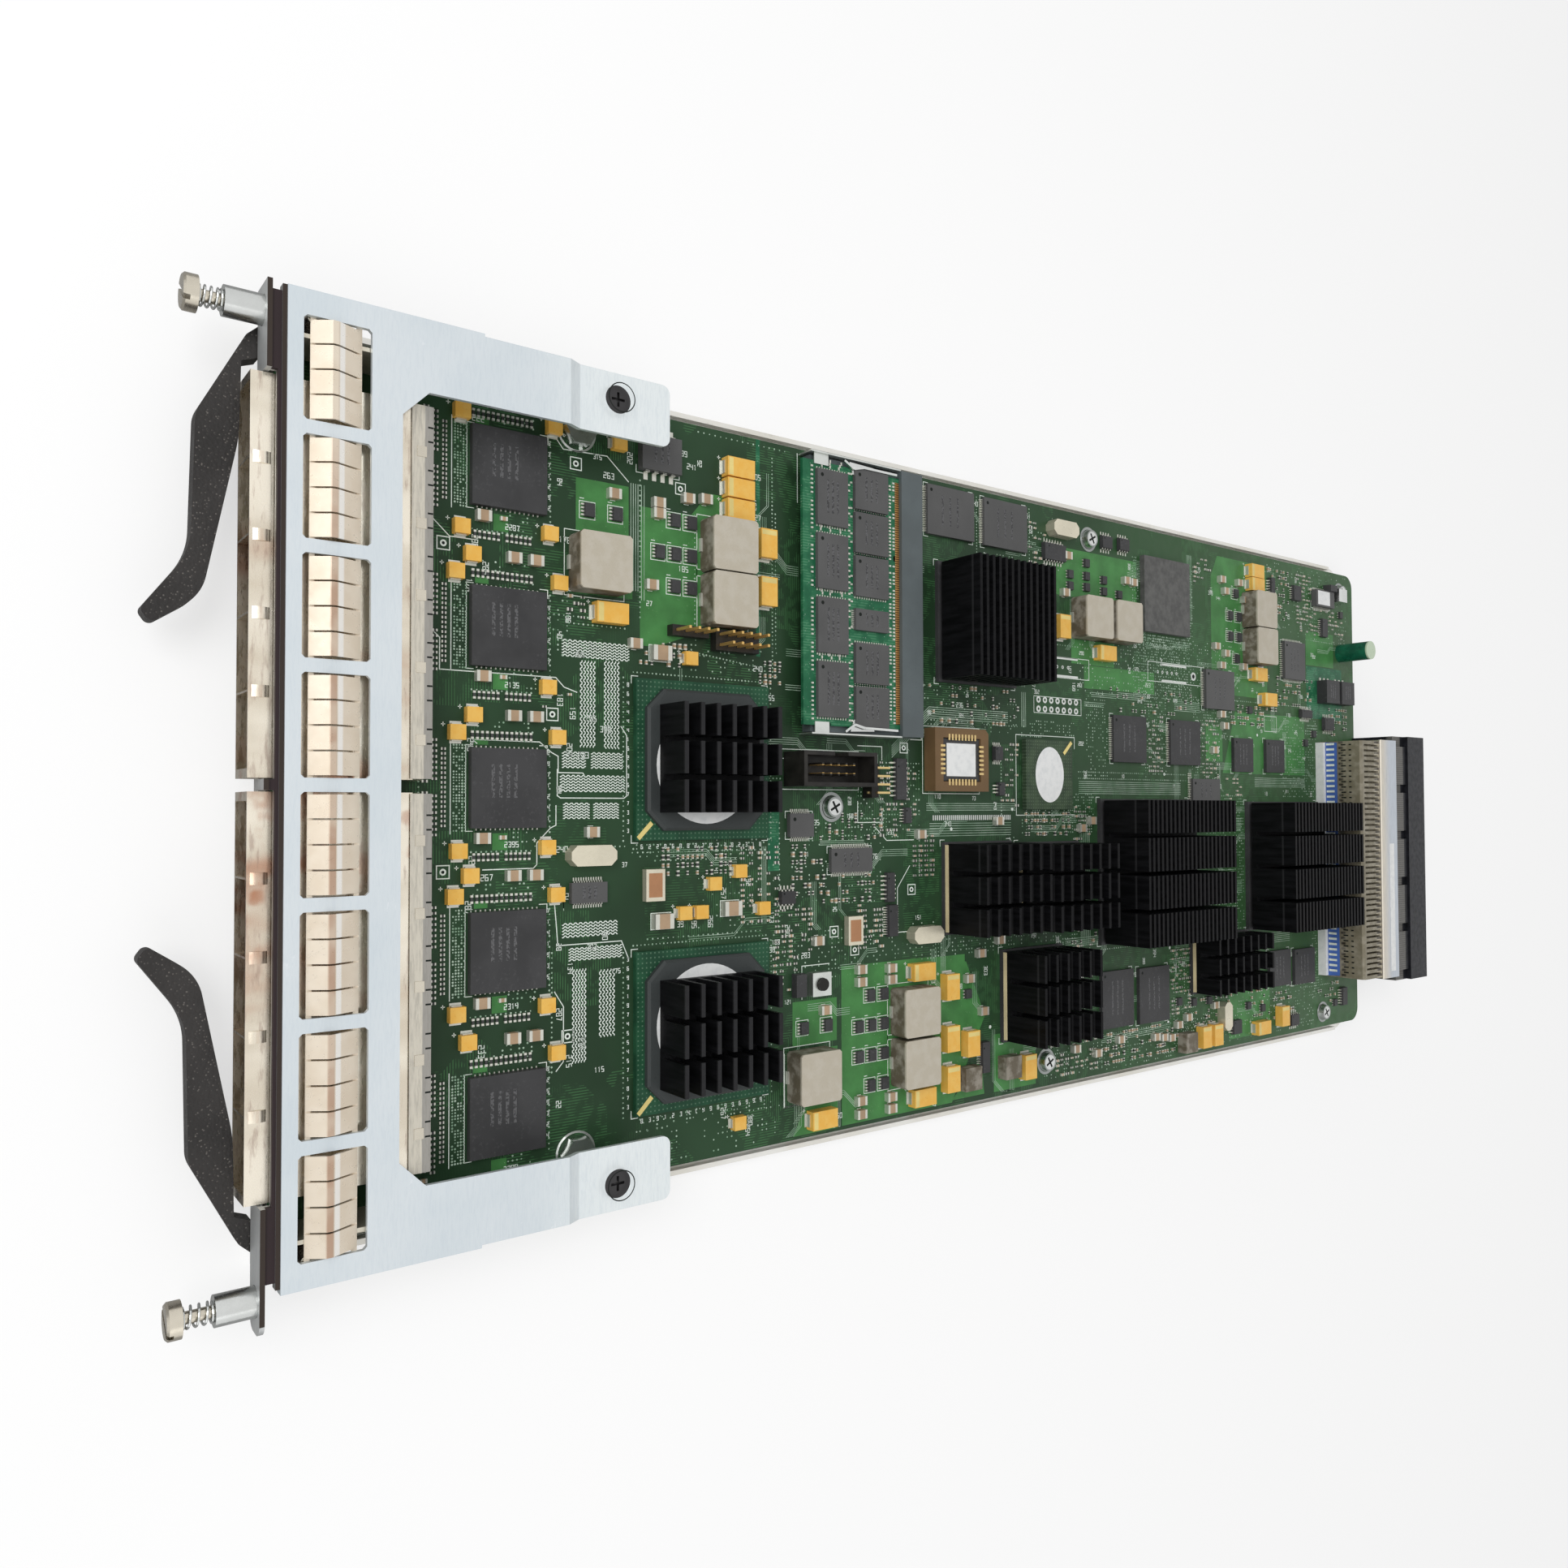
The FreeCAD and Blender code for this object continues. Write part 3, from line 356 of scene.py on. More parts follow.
def solder_mask(name):
    """Dark green mask over laid copper: cloudy tone, faint hatching of hidden traces and a glossy skin."""
    f = Finish(name, specular=0.2)
    base = tuple(colours().mask)
    x, y = f.axes("XY")
    slow = f.noise(38.0, 3.0).between(0.35, 0.65)
    tone = f.blend(slow, shade(base, 0.86), shade(base, 1.3))
    tone = f.blend(y.between(180, 380, 0.0, 0.55), tone, tint(66, 106, 62))
    blocks = f.node("ShaderNodeTexVoronoi", {"distance": "CHEBYCHEV"},
                    {"Vector": f.place, "Scale": 1 / (13 * MM)})
    patch = f.node("ShaderNodeSeparateXYZ", None, {0: blocks.outputs["Color"]})
    upright = Value(f, patch.outputs[0]).between(0.45, 0.5)
    strands = (x.wave(0.62) * upright + y.wave(0.62) * (1 - upright)).between(0.62, 0.8)
    strands = strands * Value(f, patch.outputs[1]).between(0.4, 0.55) * f.noise(3.0, 2.0).between(0.42, 0.56)
    tone = f.blend(strands * 0.55, tone, tint(74, 124, 78))
    weave = x.wave(0.5) * y.wave(0.5)
    return f.paint(tone, f.sheen(4.0, 0.34, 0.48), strands * 0.8 + weave * 0.2, 0.012)


def poured_copper(name):
    f = Finish(name, specular=0.2)
    base = tuple(colours().pour)
    tone = f.cloudy(7.0, shade(base, 0.82), shade(base, 1.15), 4.0)
    speck = f.cells(0.9).between(0.0, 0.16, 1.0, 0.0) * f.noise(5.0).between(0.5, 0.6)
    return f.paint(f.blend(speck * 0.6, tone, tint(170, 200, 160)), f.noise(2.0).between(0.2, 0.8, 0.3, 0.45),
                   f.noise(0.7), 0.006)


def cage_nickel(name):
    """Bright plating with painted coppery reflections in patches along the row of ports, and on the nose a
    painted coppery reflection and a painted shadow line at each cage wall.
    """
    f = Finish(name, metallic=1.0)
    base = tuple(colours().nickel)
    x = f.axis("X")
    drift = f.noise(16.0, 3.0, 0.5, f.stretched(1.0, 0.35, 1.0))
    tone = f.blend(drift.between(0.42, 0.62), base, tint(236, 228, 212))
    # painted coppery reflection, in patches along the row of ports
    copper_reflection = drift.between(0.46, 0.3) * x.between(-72, -30) * x.between(62, 30) + \
        x.between(-22, 4) * x.between(46, 22) * f.noise(9.0).between(0.5, 0.62) * 0.7
    tone = f.blend(copper_reflection * 0.75, tone, tint(178, 128, 100))
    smear = f.noise(2.2, 5.0, 0.7, f.stretched(0.3, 1.6, 1.0, 25))
    tone = f.blend(smear.between(0.52, 0.7) * 0.5, tone, tint(146, 120, 108))
    z = f.axis("Z")
    side = x.between(-0.5, 0.5)
    walls = x.wave(PORT_PITCH, -13.4125) * side + x.wave(PORT_PITCH, 20.5375) * (1 - side)
    nose = z.between(10.12, 10.2) * f.axis("Y").between(2.4, 2.2)
    # on the nose, at each cage wall: a painted coppery reflection, then a painted shadow line beside it
    tone = f.blend(walls.between(0.88, 0.92) * nose * 0.8, tone, tint(176, 128, 98))
    tone = f.blend(walls.between(0.84, 0.87) * walls.between(0.92, 0.89) * nose, tone, tint(66, 44, 34))
    return f.paint(tone, smear.between(0.3, 0.7, 0.2, 0.36), smear, 0.006)


def contact_nickel(name):
    """Beige plated fingers, with a painted highlight along the ridge and a painted coppery reflection beside
    it.
    """
    f = Finish(name, metallic=0.3, specular=0.2)
    y, x = f.axes("YX")
    base = tint(228, 216, 198)
    ridge_highlight = y.between(12.2, 12.5) * y.between(13.6, 13.2)
    # the band beside the ridge where the painted coppery reflection lies, stronger towards the left end
    line = y.between(10.7, 11.1) * y.between(12.3, 12.0)
    tone = f.blend(f.noise(6.0).between(0.35, 0.7), base, tint(220, 206, 186))
    brown = x.between(-75, -40) * (0.5 + f.noise(11.0).between(0.4, 0.6) * 0.5)
    tone = f.blend(line * brown * 0.8, tone, tint(172, 136, 112))
    # painted highlight along the ridge
    tone = f.blend(ridge_highlight * 0.7, tone, tint(250, 250, 248))
    return f.paint(tone, f.sheen(1.4, 0.26, 0.38, 4.0), f.noise(0.8), 0.004)


def frame_steel(name):
    """Zinc-plated sheet, pale and faintly blue, brushed across the card with small scuffs."""
    f = Finish(name, metallic=0.45, specular=0.3)
    base = tuple(colours().frame_steel)
    lay = f.stretched(0.16, 1.0, 1.0)
    streak = f.noise(0.5, 6.0, 0.7, lay)
    slow = f.noise(30.0, 3.0).between(0.35, 0.65)
    tone = f.blend(slow, base, tint(216, 223, 227))
    # painted reflection: lighter towards the arms' rear ends
    tone = f.blend(f.axis("Y").between(48, 70), tone, tint(230, 236, 237))
    tone = f.blend(streak.between(0.4, 0.7) * 0.3, tone, tint(192, 202, 210))
    scuff = f.noise(9.0, 5.0, 0.7).between(0.62, 0.7) * streak.between(0.5, 0.6)
    tone = f.blend(scuff * 0.4, tone, tint(246, 248, 250))
    return f.paint(tone, streak.between(0.2, 0.8, 0.3, 0.46), streak, 0.004)


def lever_black(name):
    """Black glass-filled nylon with a spark-eroded grain and grey flecks."""
    f = Finish(name, specular=0.22)
    base = tuple(colours().handle)
    grain = f.cells(0.6)
    fleck = grain.between(0.0, 0.36, 1.0, 0.0) * f.noise(1.4, 4.0).between(0.42, 0.54)
    tone = f.cloudy(14.0, shade(base, 0.85), shade(base, 1.3))
    tone = f.blend(fleck * 0.6, tone, tint(146, 140, 134))
    return f.paint(tone, f.sheen(6.0, 0.36, 0.5), grain + f.noise(0.5) * 0.5, 0.09)


def anodised_black(name):
    """Satin black anodised fins, with a painted grey highlight along their tips."""
    f = Finish(name, specular=0.08)
    z = f.axis("Z")
    streak = f.noise(1.2, 5.0, 0.6, f.stretched(1.0, 1.0, 0.1))
    tone = f.blend(streak.between(0.3, 0.75), tint(11, 11, 12), tint(24, 24, 26))
    # painted highlight along the fin tips
    tone = f.blend(z.between(13.5, 14.1) * z.between(14.6, 14.25) * 0.2, tone, tint(90, 90, 92))
    return f.paint(tone, streak.between(0.3, 0.7, 0.38, 0.52), streak, 0.006)


def choke_body(name):
    """Pressed iron powder: taupe on top, with painted shade that darkens softly at the rims and goes
    brown-grey down the sides.
    """
    f = Finish(name, specular=0.3)
    z = f.axis("Z")
    grain = f.cells(0.28)
    # painted shade: the sides darker than the top, softly at the rims
    top = z.between(5.3, 6.0)
    tone = f.blend(top, tint(100, 92, 77), tint(190, 182, 165))
    tone = f.blend(f.noise(3.0, 4.0).between(0.4, 0.65) * 0.35, tone, tint(206, 200, 188))
    tone = f.blend(grain.between(0.0, 0.3, 0.3, 0.0), tone, tint(120, 112, 100))
    return f.paint(tone, f.sheen(1.5, 0.42, 0.6), grain, 0.03)


def tantalum_body(name):
    f = Finish(name, specular=0.4)
    base = tuple(colours().tantalum)
    tone = f.cloudy(2.4, base, tint(240, 192, 96))
    tone = f.blend(f.noise(0.5, 4.0).between(0.6, 0.75) * 0.4, tone, tint(196, 134, 42))
    return f.paint(tone, f.sheen(1.8, 0.34, 0.48), f.noise(0.4), 0.012)


def steel_tray(name):
    """Pale passivated sheet along the rims, with a faint rolled grain and handling marks."""
    f = Finish(name, metallic=0.6)
    streak = f.noise(0.8, 6.0, 0.7, f.stretched(1.0, 0.12, 1.0))
    tone = f.cloudy(24.0, tint(222, 219, 210), tint(234, 233, 228))
    mark = f.noise(5.0, 6.0, 0.75).between(0.58, 0.66) * streak.between(0.45, 0.6)
    tone = f.blend(mark * 0.5, tone, tint(168, 162, 150))
    return f.paint(tone, streak.between(0.2, 0.8, 0.34, 0.5), streak, 0.006)


def wafer_plastic(name):
    """Beige-grey connector wafers, darker between the leads."""
    f = Finish(name, specular=0.35)
    x, y, z = f.axes("XYZ")
    comb = y.between(391.5, 392.5)
    ticks = z.between(9.6, 9.0) * z.between(7.4, 7.8)
    ribs = 1 - (1 - x.wave(2.0).between(0.25, 0.6)) * (comb + ticks * (1 - comb))
    # painted shade: olive towards the front, before y 391.5, and beige behind it
    tone = f.blend(comb, tint(124, 117, 98), tint(184, 176, 156))
    tone = f.blend(1 - ribs, tone, tint(52, 46, 38))
    tone = f.blend(f.noise(3.0, 4.0).between(0.4, 0.7) * 0.3, tone, tint(196, 190, 174))
    return f.paint(tone, f.sheen(2.0, 0.36, 0.5), ribs, 0.03)


def shaded_steel(name):
    """The connector's pressed stiffener: beige at the front, blue-grey towards the housing."""
    f = Finish(name, metallic=0.9)
    y = f.axis("Y")
    streak = f.noise(0.6, 5.0, 0.7, f.stretched(0.12, 1.0, 1.0))
    tone = f.blend(y.between(396, 403), tint(205, 198, 184), tint(186, 192, 200))
    tone = f.blend(streak.between(0.4, 0.7) * 0.3, tone, tint(160, 164, 170))
    return f.paint(tone, streak.between(0.2, 0.8, 0.4, 0.52), streak, 0.004)


def paper_label(name):
    f = Finish(name, specular=0.25)
    tone = f.blend(f.noise(2.0, 5.0).between(0.4, 0.7), tint(240, 241, 240), tint(228, 230, 230))
    return f.paint(tone, f.sheen(0.6, 0.5, 0.65), f.noise(0.25, 4.0), 0.004)


def legend_ink(name):
    f = Finish(name, specular=0.3)
    base = tuple(colours().print_white)
    tone = f.blend(f.noise(0.6, 4.0).between(0.5, 0.75) * 0.45, base, tint(150, 176, 156))
    return f.paint(tone, f.sheen(0.8, 0.45, 0.6), f.noise(0.3), 0.003)


def seen_trace(name):
    """Copper under thin mask: pale green lines with a slow shift in tone."""
    f = Finish(name, specular=0.4)
    tone = f.cloudy(5.0, tint(128, 162, 134), tint(188, 208, 190))
    return f.paint(tone, f.sheen(2.0, 0.34, 0.46), f.noise(0.4), 0.004)


def can_sleeve(name):
    """Green shrink sleeve, with a painted highlight on its shrunk rim."""
    f = Finish(name, specular=0.5)
    z = f.axis("Z")
    tone = f.cloudy(3.0, tint(12, 78, 58), tint(24, 104, 76))
    # painted highlight round the top rim
    tone = f.blend(z.between(11.7, 12.0), tone, tint(196, 214, 186))
    return f.paint(tone, f.sheen(2.0, 0.24, 0.36), f.noise(0.5), 0.006)


def chip_resin(name):
    """Dark chip resin, sanded fine, with a faint laser-greyed patch on each face."""
    f = Finish(name, specular=0.2)
    base = tuple(colours().epoxy)
    slow = f.noise(11.0, 3.0)
    tone = f.blend(slow.between(0.3, 0.7), shade(base, 0.85), shade(base, 1.2))
    burnt = f.noise(0.9, 5.0, 0.7).between(0.52, 0.68) * f.noise(6.0).between(0.42, 0.56)
    tone = f.blend(burnt * 0.4, tone, shade(base, 2.2))
    return f.paint(tone, slow.between(0.2, 0.8, 0.42, 0.58), f.noise(0.22, 4.0), 0.012)


def laminate(name):
    """A chip's own green carrier: fine pads in rows round a plain middle."""
    f = Finish(name, specular=0.2)
    x, y = f.axes("XY")
    dots = x.wave(1.1).between(0.7, 0.85) * y.wave(1.1).between(0.7, 0.85)
    tone = f.cloudy(5.0, tint(28, 66, 46), tint(40, 86, 60))
    tone = f.blend(dots * 0.45, tone, tint(120, 154, 128))
    return f.paint(tone, f.sheen(2.0, 0.34, 0.46), dots, 0.01)


def control_chip(name):
    """Grey resin on the chip by the edge, and a bare green carrier on the one near the middle."""
    f = Finish(name, specular=0.2)
    x, y = f.axes("XY")
    dots = x.wave(1.0).between(0.72, 0.86) * y.wave(1.0).between(0.72, 0.86)
    green = f.blend(dots * 0.4, f.cloudy(3.0, tint(50, 66, 50), tint(66, 84, 62)),
                    tint(120, 140, 116))
    grey = f.cloudy(2.4, tint(80, 80, 79), tint(98, 98, 96), 4.0)
    return f.paint(f.blend(x.between(-40, -38), grey, green), f.sheen(2.0, 0.4, 0.52),
                   f.noise(0.25, 4.0), 0.01)


def module_mask(name):
    """The memory module's green: dotted with vias between its chips."""
    f = Finish(name, specular=0.2)
    x = f.axis("X")
    tone = f.cloudy(4.0, tint(28, 92, 62), tint(48, 116, 80))
    dots = f.cells(0.8).between(0.0, 0.2, 1.0, 0.0) * f.noise(2.6, 2.0).between(0.47, 0.53)
    lines = x.wave(0.7).between(0.6, 0.8) * f.noise(4.0, 2.0).between(0.5, 0.56)
    tone = f.blend(lines * 0.5, tone, tint(96, 150, 116))
    tone = f.blend(dots * 0.8, tone, tint(206, 222, 208))
    return f.paint(tone, f.sheen(2.0, 0.3, 0.44), lines + dots, 0.01)


def contact_line(name):
    """Gold fingers seen as a thin brown and gold line."""
    f = Finish(name, metallic=0.4)
    x = f.axis("X")
    tone = f.blend(x.wave(0.6).between(0.35, 0.65), tint(92, 58, 26), tint(196, 148, 84))
    tone = f.blend(f.noise(5.0).between(0.4, 0.65) * 0.5, tone, tint(120, 84, 44))
    return f.paint(tone, f.sheen(1.0, 0.3, 0.44), x.wave(0.6), 0.01)


def printed_text(name):
    """Rows of tiny grey ticks, as illegible as they are at this size."""
    f = Finish(name, specular=0.2)
    base = tuple(colours().epoxy)
    ticks = f.noise(0.5, 2.0, 0.5).between(0.44, 0.54)
    tone = f.blend(ticks, shade(base, 1.05), shade(base, 2.6))
    return f.paint(tone, f.sheen(1.0, 0.45, 0.55), ticks, 0.003)


def panel_steel(name):
    """The front panel: grey plated face, darker along its top."""
    f = Finish(name, metallic=0.5, specular=0.3)
    streak = f.noise(0.7, 6.0, 0.7, f.stretched(0.2, 1.0, 1.0))
    tone = f.cloudy(20.0, tint(186, 188, 188), tint(202, 204, 203))
    tone = f.blend(streak.between(0.4, 0.7) * 0.35, tone, tint(160, 163, 166))
    edge = f.axis("Z").between(12.52, 12.58) + f.axis("Y").between(1.4, 1.8) * 0.5
    tone = f.blend(edge.between(0.2, 0.8), tone, tint(58, 50, 45))
    return f.paint(tone, streak.between(0.2, 0.8, 0.34, 0.48), streak, 0.005)


def rear_strip(name):
    """The cages' folded rear edge: brushed along the row, with painted shade making it greyer towards the
    board.
    """
    f = Finish(name, metallic=0.6)
    y = f.axis("Y")
    streak = f.noise(0.5, 6.0, 0.7, f.stretched(0.12, 1.0, 1.0))
    # painted shade: greyer behind y 29.95, towards the board
    tone = f.blend(y.between(29.7, 29.95), tint(206, 200, 186), tint(158, 155, 149))
    tone = f.blend(streak.between(0.4, 0.7) * 0.4, tone, tint(120, 118, 112))
    return f.paint(tone, streak.between(0.2, 0.8, 0.28, 0.42), streak, 0.004)


def housing_black(name):
    """The mating housing: black, with grey ribbed blocks along its upper front edge."""
    f = Finish(name, specular=0.18)
    x, y = f.axes("XY")
    ribs = x.wave(0.8).between(0.3, 0.6)
    block = y.between(413.6, 413.2) * f.axis("Z").between(13.0, 14.5)
    tone = f.cloudy(3.0, tint(19, 20, 24), tint(32, 33, 38))
    tone = f.blend(block * (0.55 + ribs * 0.35), tone, tint(112, 110, 106))
    return f.paint(tone, f.sheen(1.6, 0.36, 0.5), ribs * block + f.noise(0.3) * 0.3, 0.012)


def gilt_pins(where):
    """Black header plastic with gilt pins, told apart by where they stand."""
    def make(name):
        f = Finish(name, specular=0.25)
        gilt = where(f)
        grain = f.noise(0.3, 4.0)
        black = f.cloudy(4.0, tint(28, 26, 25), tint(44, 42, 39))
        tone = f.blend(gilt, black, tint(214, 176, 108))
        f.tree.links.new((gilt * 0.7).socket, f.shader.inputs["Metallic"])
        return f.paint(tone, grain.between(0.2, 0.8, 0.3, 0.5), grain, 0.008)
    return make


def well_pins(f):
    x0, x1, y0, y1 = bricks("box_header")[0][:4]
    x, y = f.axes("XY")
    inside = x.between(x0 + 3.2, x0 + 3.4) * x.between(x1 - 3.2, x1 - 3.4)
    inside = inside * y.between(y0 + 3.0, y0 + 3.2) * y.between(y1 - 3.0, y1 - 3.2)
    return inside * f.axis("Z").between(2.1, 2.25)


FINISHES = {made.__name__: made for made in (
    solder_mask, poured_copper, module_mask, laminate, seen_trace, frame_steel, cage_nickel,
    contact_nickel, steel_tray, panel_steel, shaded_steel, lever_black, anodised_black, choke_body,
    tantalum_body, housing_black, wafer_plastic, can_sleeve, control_chip, contact_line, printed_text,
    rear_strip,
)}
FINISHES.update({
    "legend": legend_ink,
    "bright_zinc": plated(tint(206, 208, 206), 0.2, 2.0),
    "champagne_steel": plated(tint(206, 199, 184), 0.24, 1.5),
    "beige_steel": plated(tint(206, 200, 184), 0.35, 4.0, (1.0, 0.3), 0.7),
    "tin": plated(tint(205, 208, 204), 0.3, 0.8, metallic=0.9),
    "lead_tin": plated(tint(208, 208, 198), 0.34, 0.6, metallic=0.55),
    "gold": plated(tint(214, 188, 132), 0.28, 0.8, metallic=0.8),
    "can_steel": plated(tint(216, 209, 188), 0.3, 2.0, (1.0, 0.4), 0.55),
    "black_steel": plated(tint(58, 57, 58), 0.34, 1.2, metallic=0.6),
    "gasket": moulded(tint(50, 40, 42), 1.6, 0.62, 0.2, 0.03),
    "epoxy": chip_resin,
    "epoxy_grey": moulded(tint(86, 86, 86), 1.6, 0.5, 0.25, 0.012),
    "lid": moulded(tint(58, 62, 62), 2.4, 0.46, 0.25, 0.008),
    "warm_lid": moulded(tint(176, 128, 92), 1.4, 0.4, 0.3, 0.008),
    "socket_tan": moulded(tint(112, 88, 60), 1.4, 0.48, 0.25, 0.012),
    "header_black": moulded(tint(34, 32, 30), 1.2, 0.46, 0.2, 0.01),
    "slot_plastic": moulded(tint(88, 96, 98), 1.6, 0.5, 0.3, 0.01),
    "ceramic": moulded(tint(176, 150, 122), 0.9, 0.4, 0.25, 0.006),
    "resistor": moulded(tint(52, 54, 52), 0.6, 0.36, 0.4, 0.004),
    "label": paper_label,
    "blue_strip": moulded(tint(70, 104, 176), 1.0, 0.5, 0.35, 0.006),
    "ochre": moulded(tint(228, 208, 132), 1.2, 0.42, 0.4, 0.006),
    "pin_header": gilt_pins(lambda f: f.axis("Z").between(2.55, 2.7)),
    "box_pins": gilt_pins(well_pins),
    "steel_shade": plated(tint(150, 154, 152), 0.3, 1.0, metallic=0.7),
    "cream_tape": moulded(tint(214, 198, 158), 0.8, 0.5, 0.25, 0.01),
    # painted shade for holes, recesses, notches, slits, seats and dimples
    "dark_hole": moulded(tint(14, 20, 16), 0.6, 0.6, 0.2, 0.004),
})

NODE_FINISH = {
    "tray": "steel_tray", "board_posts": "beige_steel", "board_screws": "bright_zinc",
    "main_board": "solder_mask", "faceplate": "panel_steel", "emi_gasket": "gasket",
    "top_frame": "frame_steel", "frame_posts": "beige_steel", "frame_screws": "black_steel",
    "hex_nuts": "bright_zinc", "contact_strip": "contact_nickel", "lever_guard_left": "beige_steel",
    "lever_guard_right": "beige_steel", "lever_left": "lever_black", "lever_right": "lever_black",
    "lever_pins": "champagne_steel", "captive_screw_left": "champagne_steel",
    "captive_screw_right": "champagne_steel", "captive_spring_left": "bright_zinc",
    "captive_spring_right": "bright_zinc", "captive_ferrules": "bright_zinc",
    "port_cage_left": "cage_nickel", "port_cage_right": "cage_nickel", "port_connectors": "header_black",
    "port_chips": "epoxy", "switch_chip_bases": "laminate", "switch_chip_lids": "lid",
    "sink_chips": "epoxy", "dimm_slot": "slot_plastic", "dimm_latches": "tin", "dimm_board": "module_mask",
    "dimm_chips": "epoxy_grey", "power_inductors": "choke_body", "small_inductors": "choke_body",
    "tantalum_capacitors": "tantalum_body", "flash_chips": "epoxy_grey", "memory_chips": "epoxy",
    "logic_chips": "epoxy_grey", "control_chips": "control_chip", "crystals": "can_steel",
    "chip_socket": "socket_tan", "socketed_chip": "epoxy", "pin_headers": "pin_header",
    "box_header": "box_pins", "reset_switch": "tin", "reset_plunger": "header_black",
    "electrolytic_capacitor": "can_sleeve", "power_blocks": "epoxy", "connector_wafers": "wafer_plastic",
    "connector_stiffener": "shaded_steel", "connector_housing": "housing_black",
}

# ---- flat prints and small solids in mesh code ---------------------------------------------------
PRINT = 0.03  # height of printed ink over the board


def anticlockwise(outline):
    """The same outline, run so that its face looks up."""
    turn = sum(a[0] * b[1] - b[0] * a[1] for a, b in zip(outline, outline[1:] + outline[:1]))
    return outline if turn > 0 else outline[::-1]


def around(x, y, wide, long, sides, last=0):
    """Points of an oval about x, y, with wide and long as its half sizes."""
    turns = [2 * math.pi * i / sides for i in range(sides + last)]
    return [(x + wide * math.cos(t), y + long * math.sin(t)) for t in turns]


def add_piece(name, mesh):
    """Puts a finished mesh in the scene as one piece of the card."""
    made = bpy.data.objects.new(name, mesh)
    bpy.context.scene.collection.objects.link(made)
    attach(made, "card")
    return made


class Shape:
    """Gathers faces in card millimetres and makes one piece of them."""

    def __init__(self):
        self.points = []
        self.faces = []

    def face(self, *corners):
        start = len(self.points)
        self.points += [at(*c) for c in corners]
        self.faces.append(tuple(range(start, start + len(corners))))

    def patch(self, x0, x1, y0, y1, z=0.02):
        self.face((x0, y0, z), (x1, y0, z), (x1, y1, z), (x0, y1, z))

    def slab(self, x0, x1, y0, y1, z0, z1, slope=0.0):
        """A block whose top edges draw in by slope."""
        s = slope
        low = [(x0, y0, z0), (x1, y0, z0), (x1, y1, z0), (x0, y1, z0)]
        high = [(x0 + s, y0 + s, z1), (x1 - s, y0 + s, z1), (x1 - s, y1 - s, z1), (x0 + s, y1 - s, z1)]
        self.prism(low, high)

    def prism(self, low, high):
        """A solid between two rings of corners that run anticlockwise in plan."""
        self.face(*reversed(low))
        self.face(*high)
        for i in range(len(low)):
            k = (i + 1) % len(low)
            self.face(low[i], low[k], high[k], high[i])

    def plate(self, outline, z0, z1):
        """An upright solid over an outline in plan."""
        outline = anticlockwise(outline)
        self.prism([(x, y, z0) for x, y in outline], [(x, y, z1) for x, y in outline])

    def ribbon(self, path, width, z=PRINT, closed=False):
        """A flat line with mitred corners along a path in plan."""
        count = len(path)
        left = []
        right = []
        for i, (x, y) in enumerate(path):
            before = path[i - 1] if i or closed else None
            after = path[(i + 1) % count] if i + 1 < count or closed else None
            normals = []
            for a, b in ((before, (x, y)), ((x, y), after)):
                if a and b:
                    run = math.hypot(b[0] - a[0], b[1] - a[1]) or 1
                    normals.append(((a[1] - b[1]) / run, (b[0] - a[0]) / run))
            nx = sum(n[0] for n in normals) / len(normals)
            ny = sum(n[1] for n in normals) / len(normals)
            reach = width / 2 / max(0.3, nx * nx + ny * ny)
            left.append((x + nx * reach, y + ny * reach, z))
            right.append((x - nx * reach, y - ny * reach, z))
        for i in range(count if closed else count - 1):
            k = (i + 1) % count
            self.face(right[i], right[k], left[k], left[i])

    def frame(self, x0, x1, y0, y1, width=None):
        self.ribbon([(x0, y0), (x1, y0), (x1, y1), (x0, y1)], width or legend_width(), PRINT, True)

    def flat(self, points, z):
        self.face(*[(x, y, z) for x, y in points])

    def disc(self, x, y, r, z, sides=12):
        self.flat(around(x, y, r, r, sides), z)

    def ring(self, x, y, inner, outer, z, sides=16):
        near = around(x, y, inner, inner, sides, 1)
        far = around(x, y, outer, outer, sides, 1)
        for i in range(sides):
            self.flat([near[i], far[i], far[i + 1], near[i + 1]], z)

    def box_frame(self, x, y, wide, long, width=None):
        """A printed frame about x, y, with wide and long as its half sizes."""
        self.frame(x - wide, x + wide, y - long, y + long, width)

    def box_slab(self, x, y, wide, long, *rest):
        """A slab about x, y, with wide and long as its half sizes."""
        self.slab(x - wide, x + wide, y - long, y + long, *rest)

    def rail(self, path, width, thick):
        """A bar of rectangular section along a path in space, upright edges kept upright."""
        for (ax, ay, az), (bx, by, bz) in zip(path, path[1:]):
            run = math.hypot(bx - ax, by - ay) or 1
            nx, ny = (ay - by) / run * width / 2, (bx - ax) / run * width / 2
            low = [(ax - nx, ay - ny, az), (bx - nx, by - ny, bz),
                   (bx + nx, by + ny, bz), (ax + nx, ay + ny, az)]
            self.prism(low, [(x, y, z + thick) for x, y, z in low])

    def number(self, text, x, y, height=None, turned=True):
        """Plain figures drawn with a pen line. Turned ones are read from the +X side."""
        h = height or sizes().number / MM
        step = h / 2
        for place, figure in enumerate(str(text)):
            for stroke in FIGURES[figure]:
                path = []
                for u, v in stroke:
                    across = (place * 1.55 + u) * step
                    up = v * step
                    path.append((x - up, y + across) if turned else (x + across, y + up))
                self.ribbon(path, legend_width() * 0.9)

    def piece(self, name, finish_name):
        mesh = bpy.data.meshes.new(name)
        mesh.from_pydata(self.points, [], self.faces)
        mesh.materials.append(finish(finish_name))
        mesh.update()
        return add_piece(name, mesh)


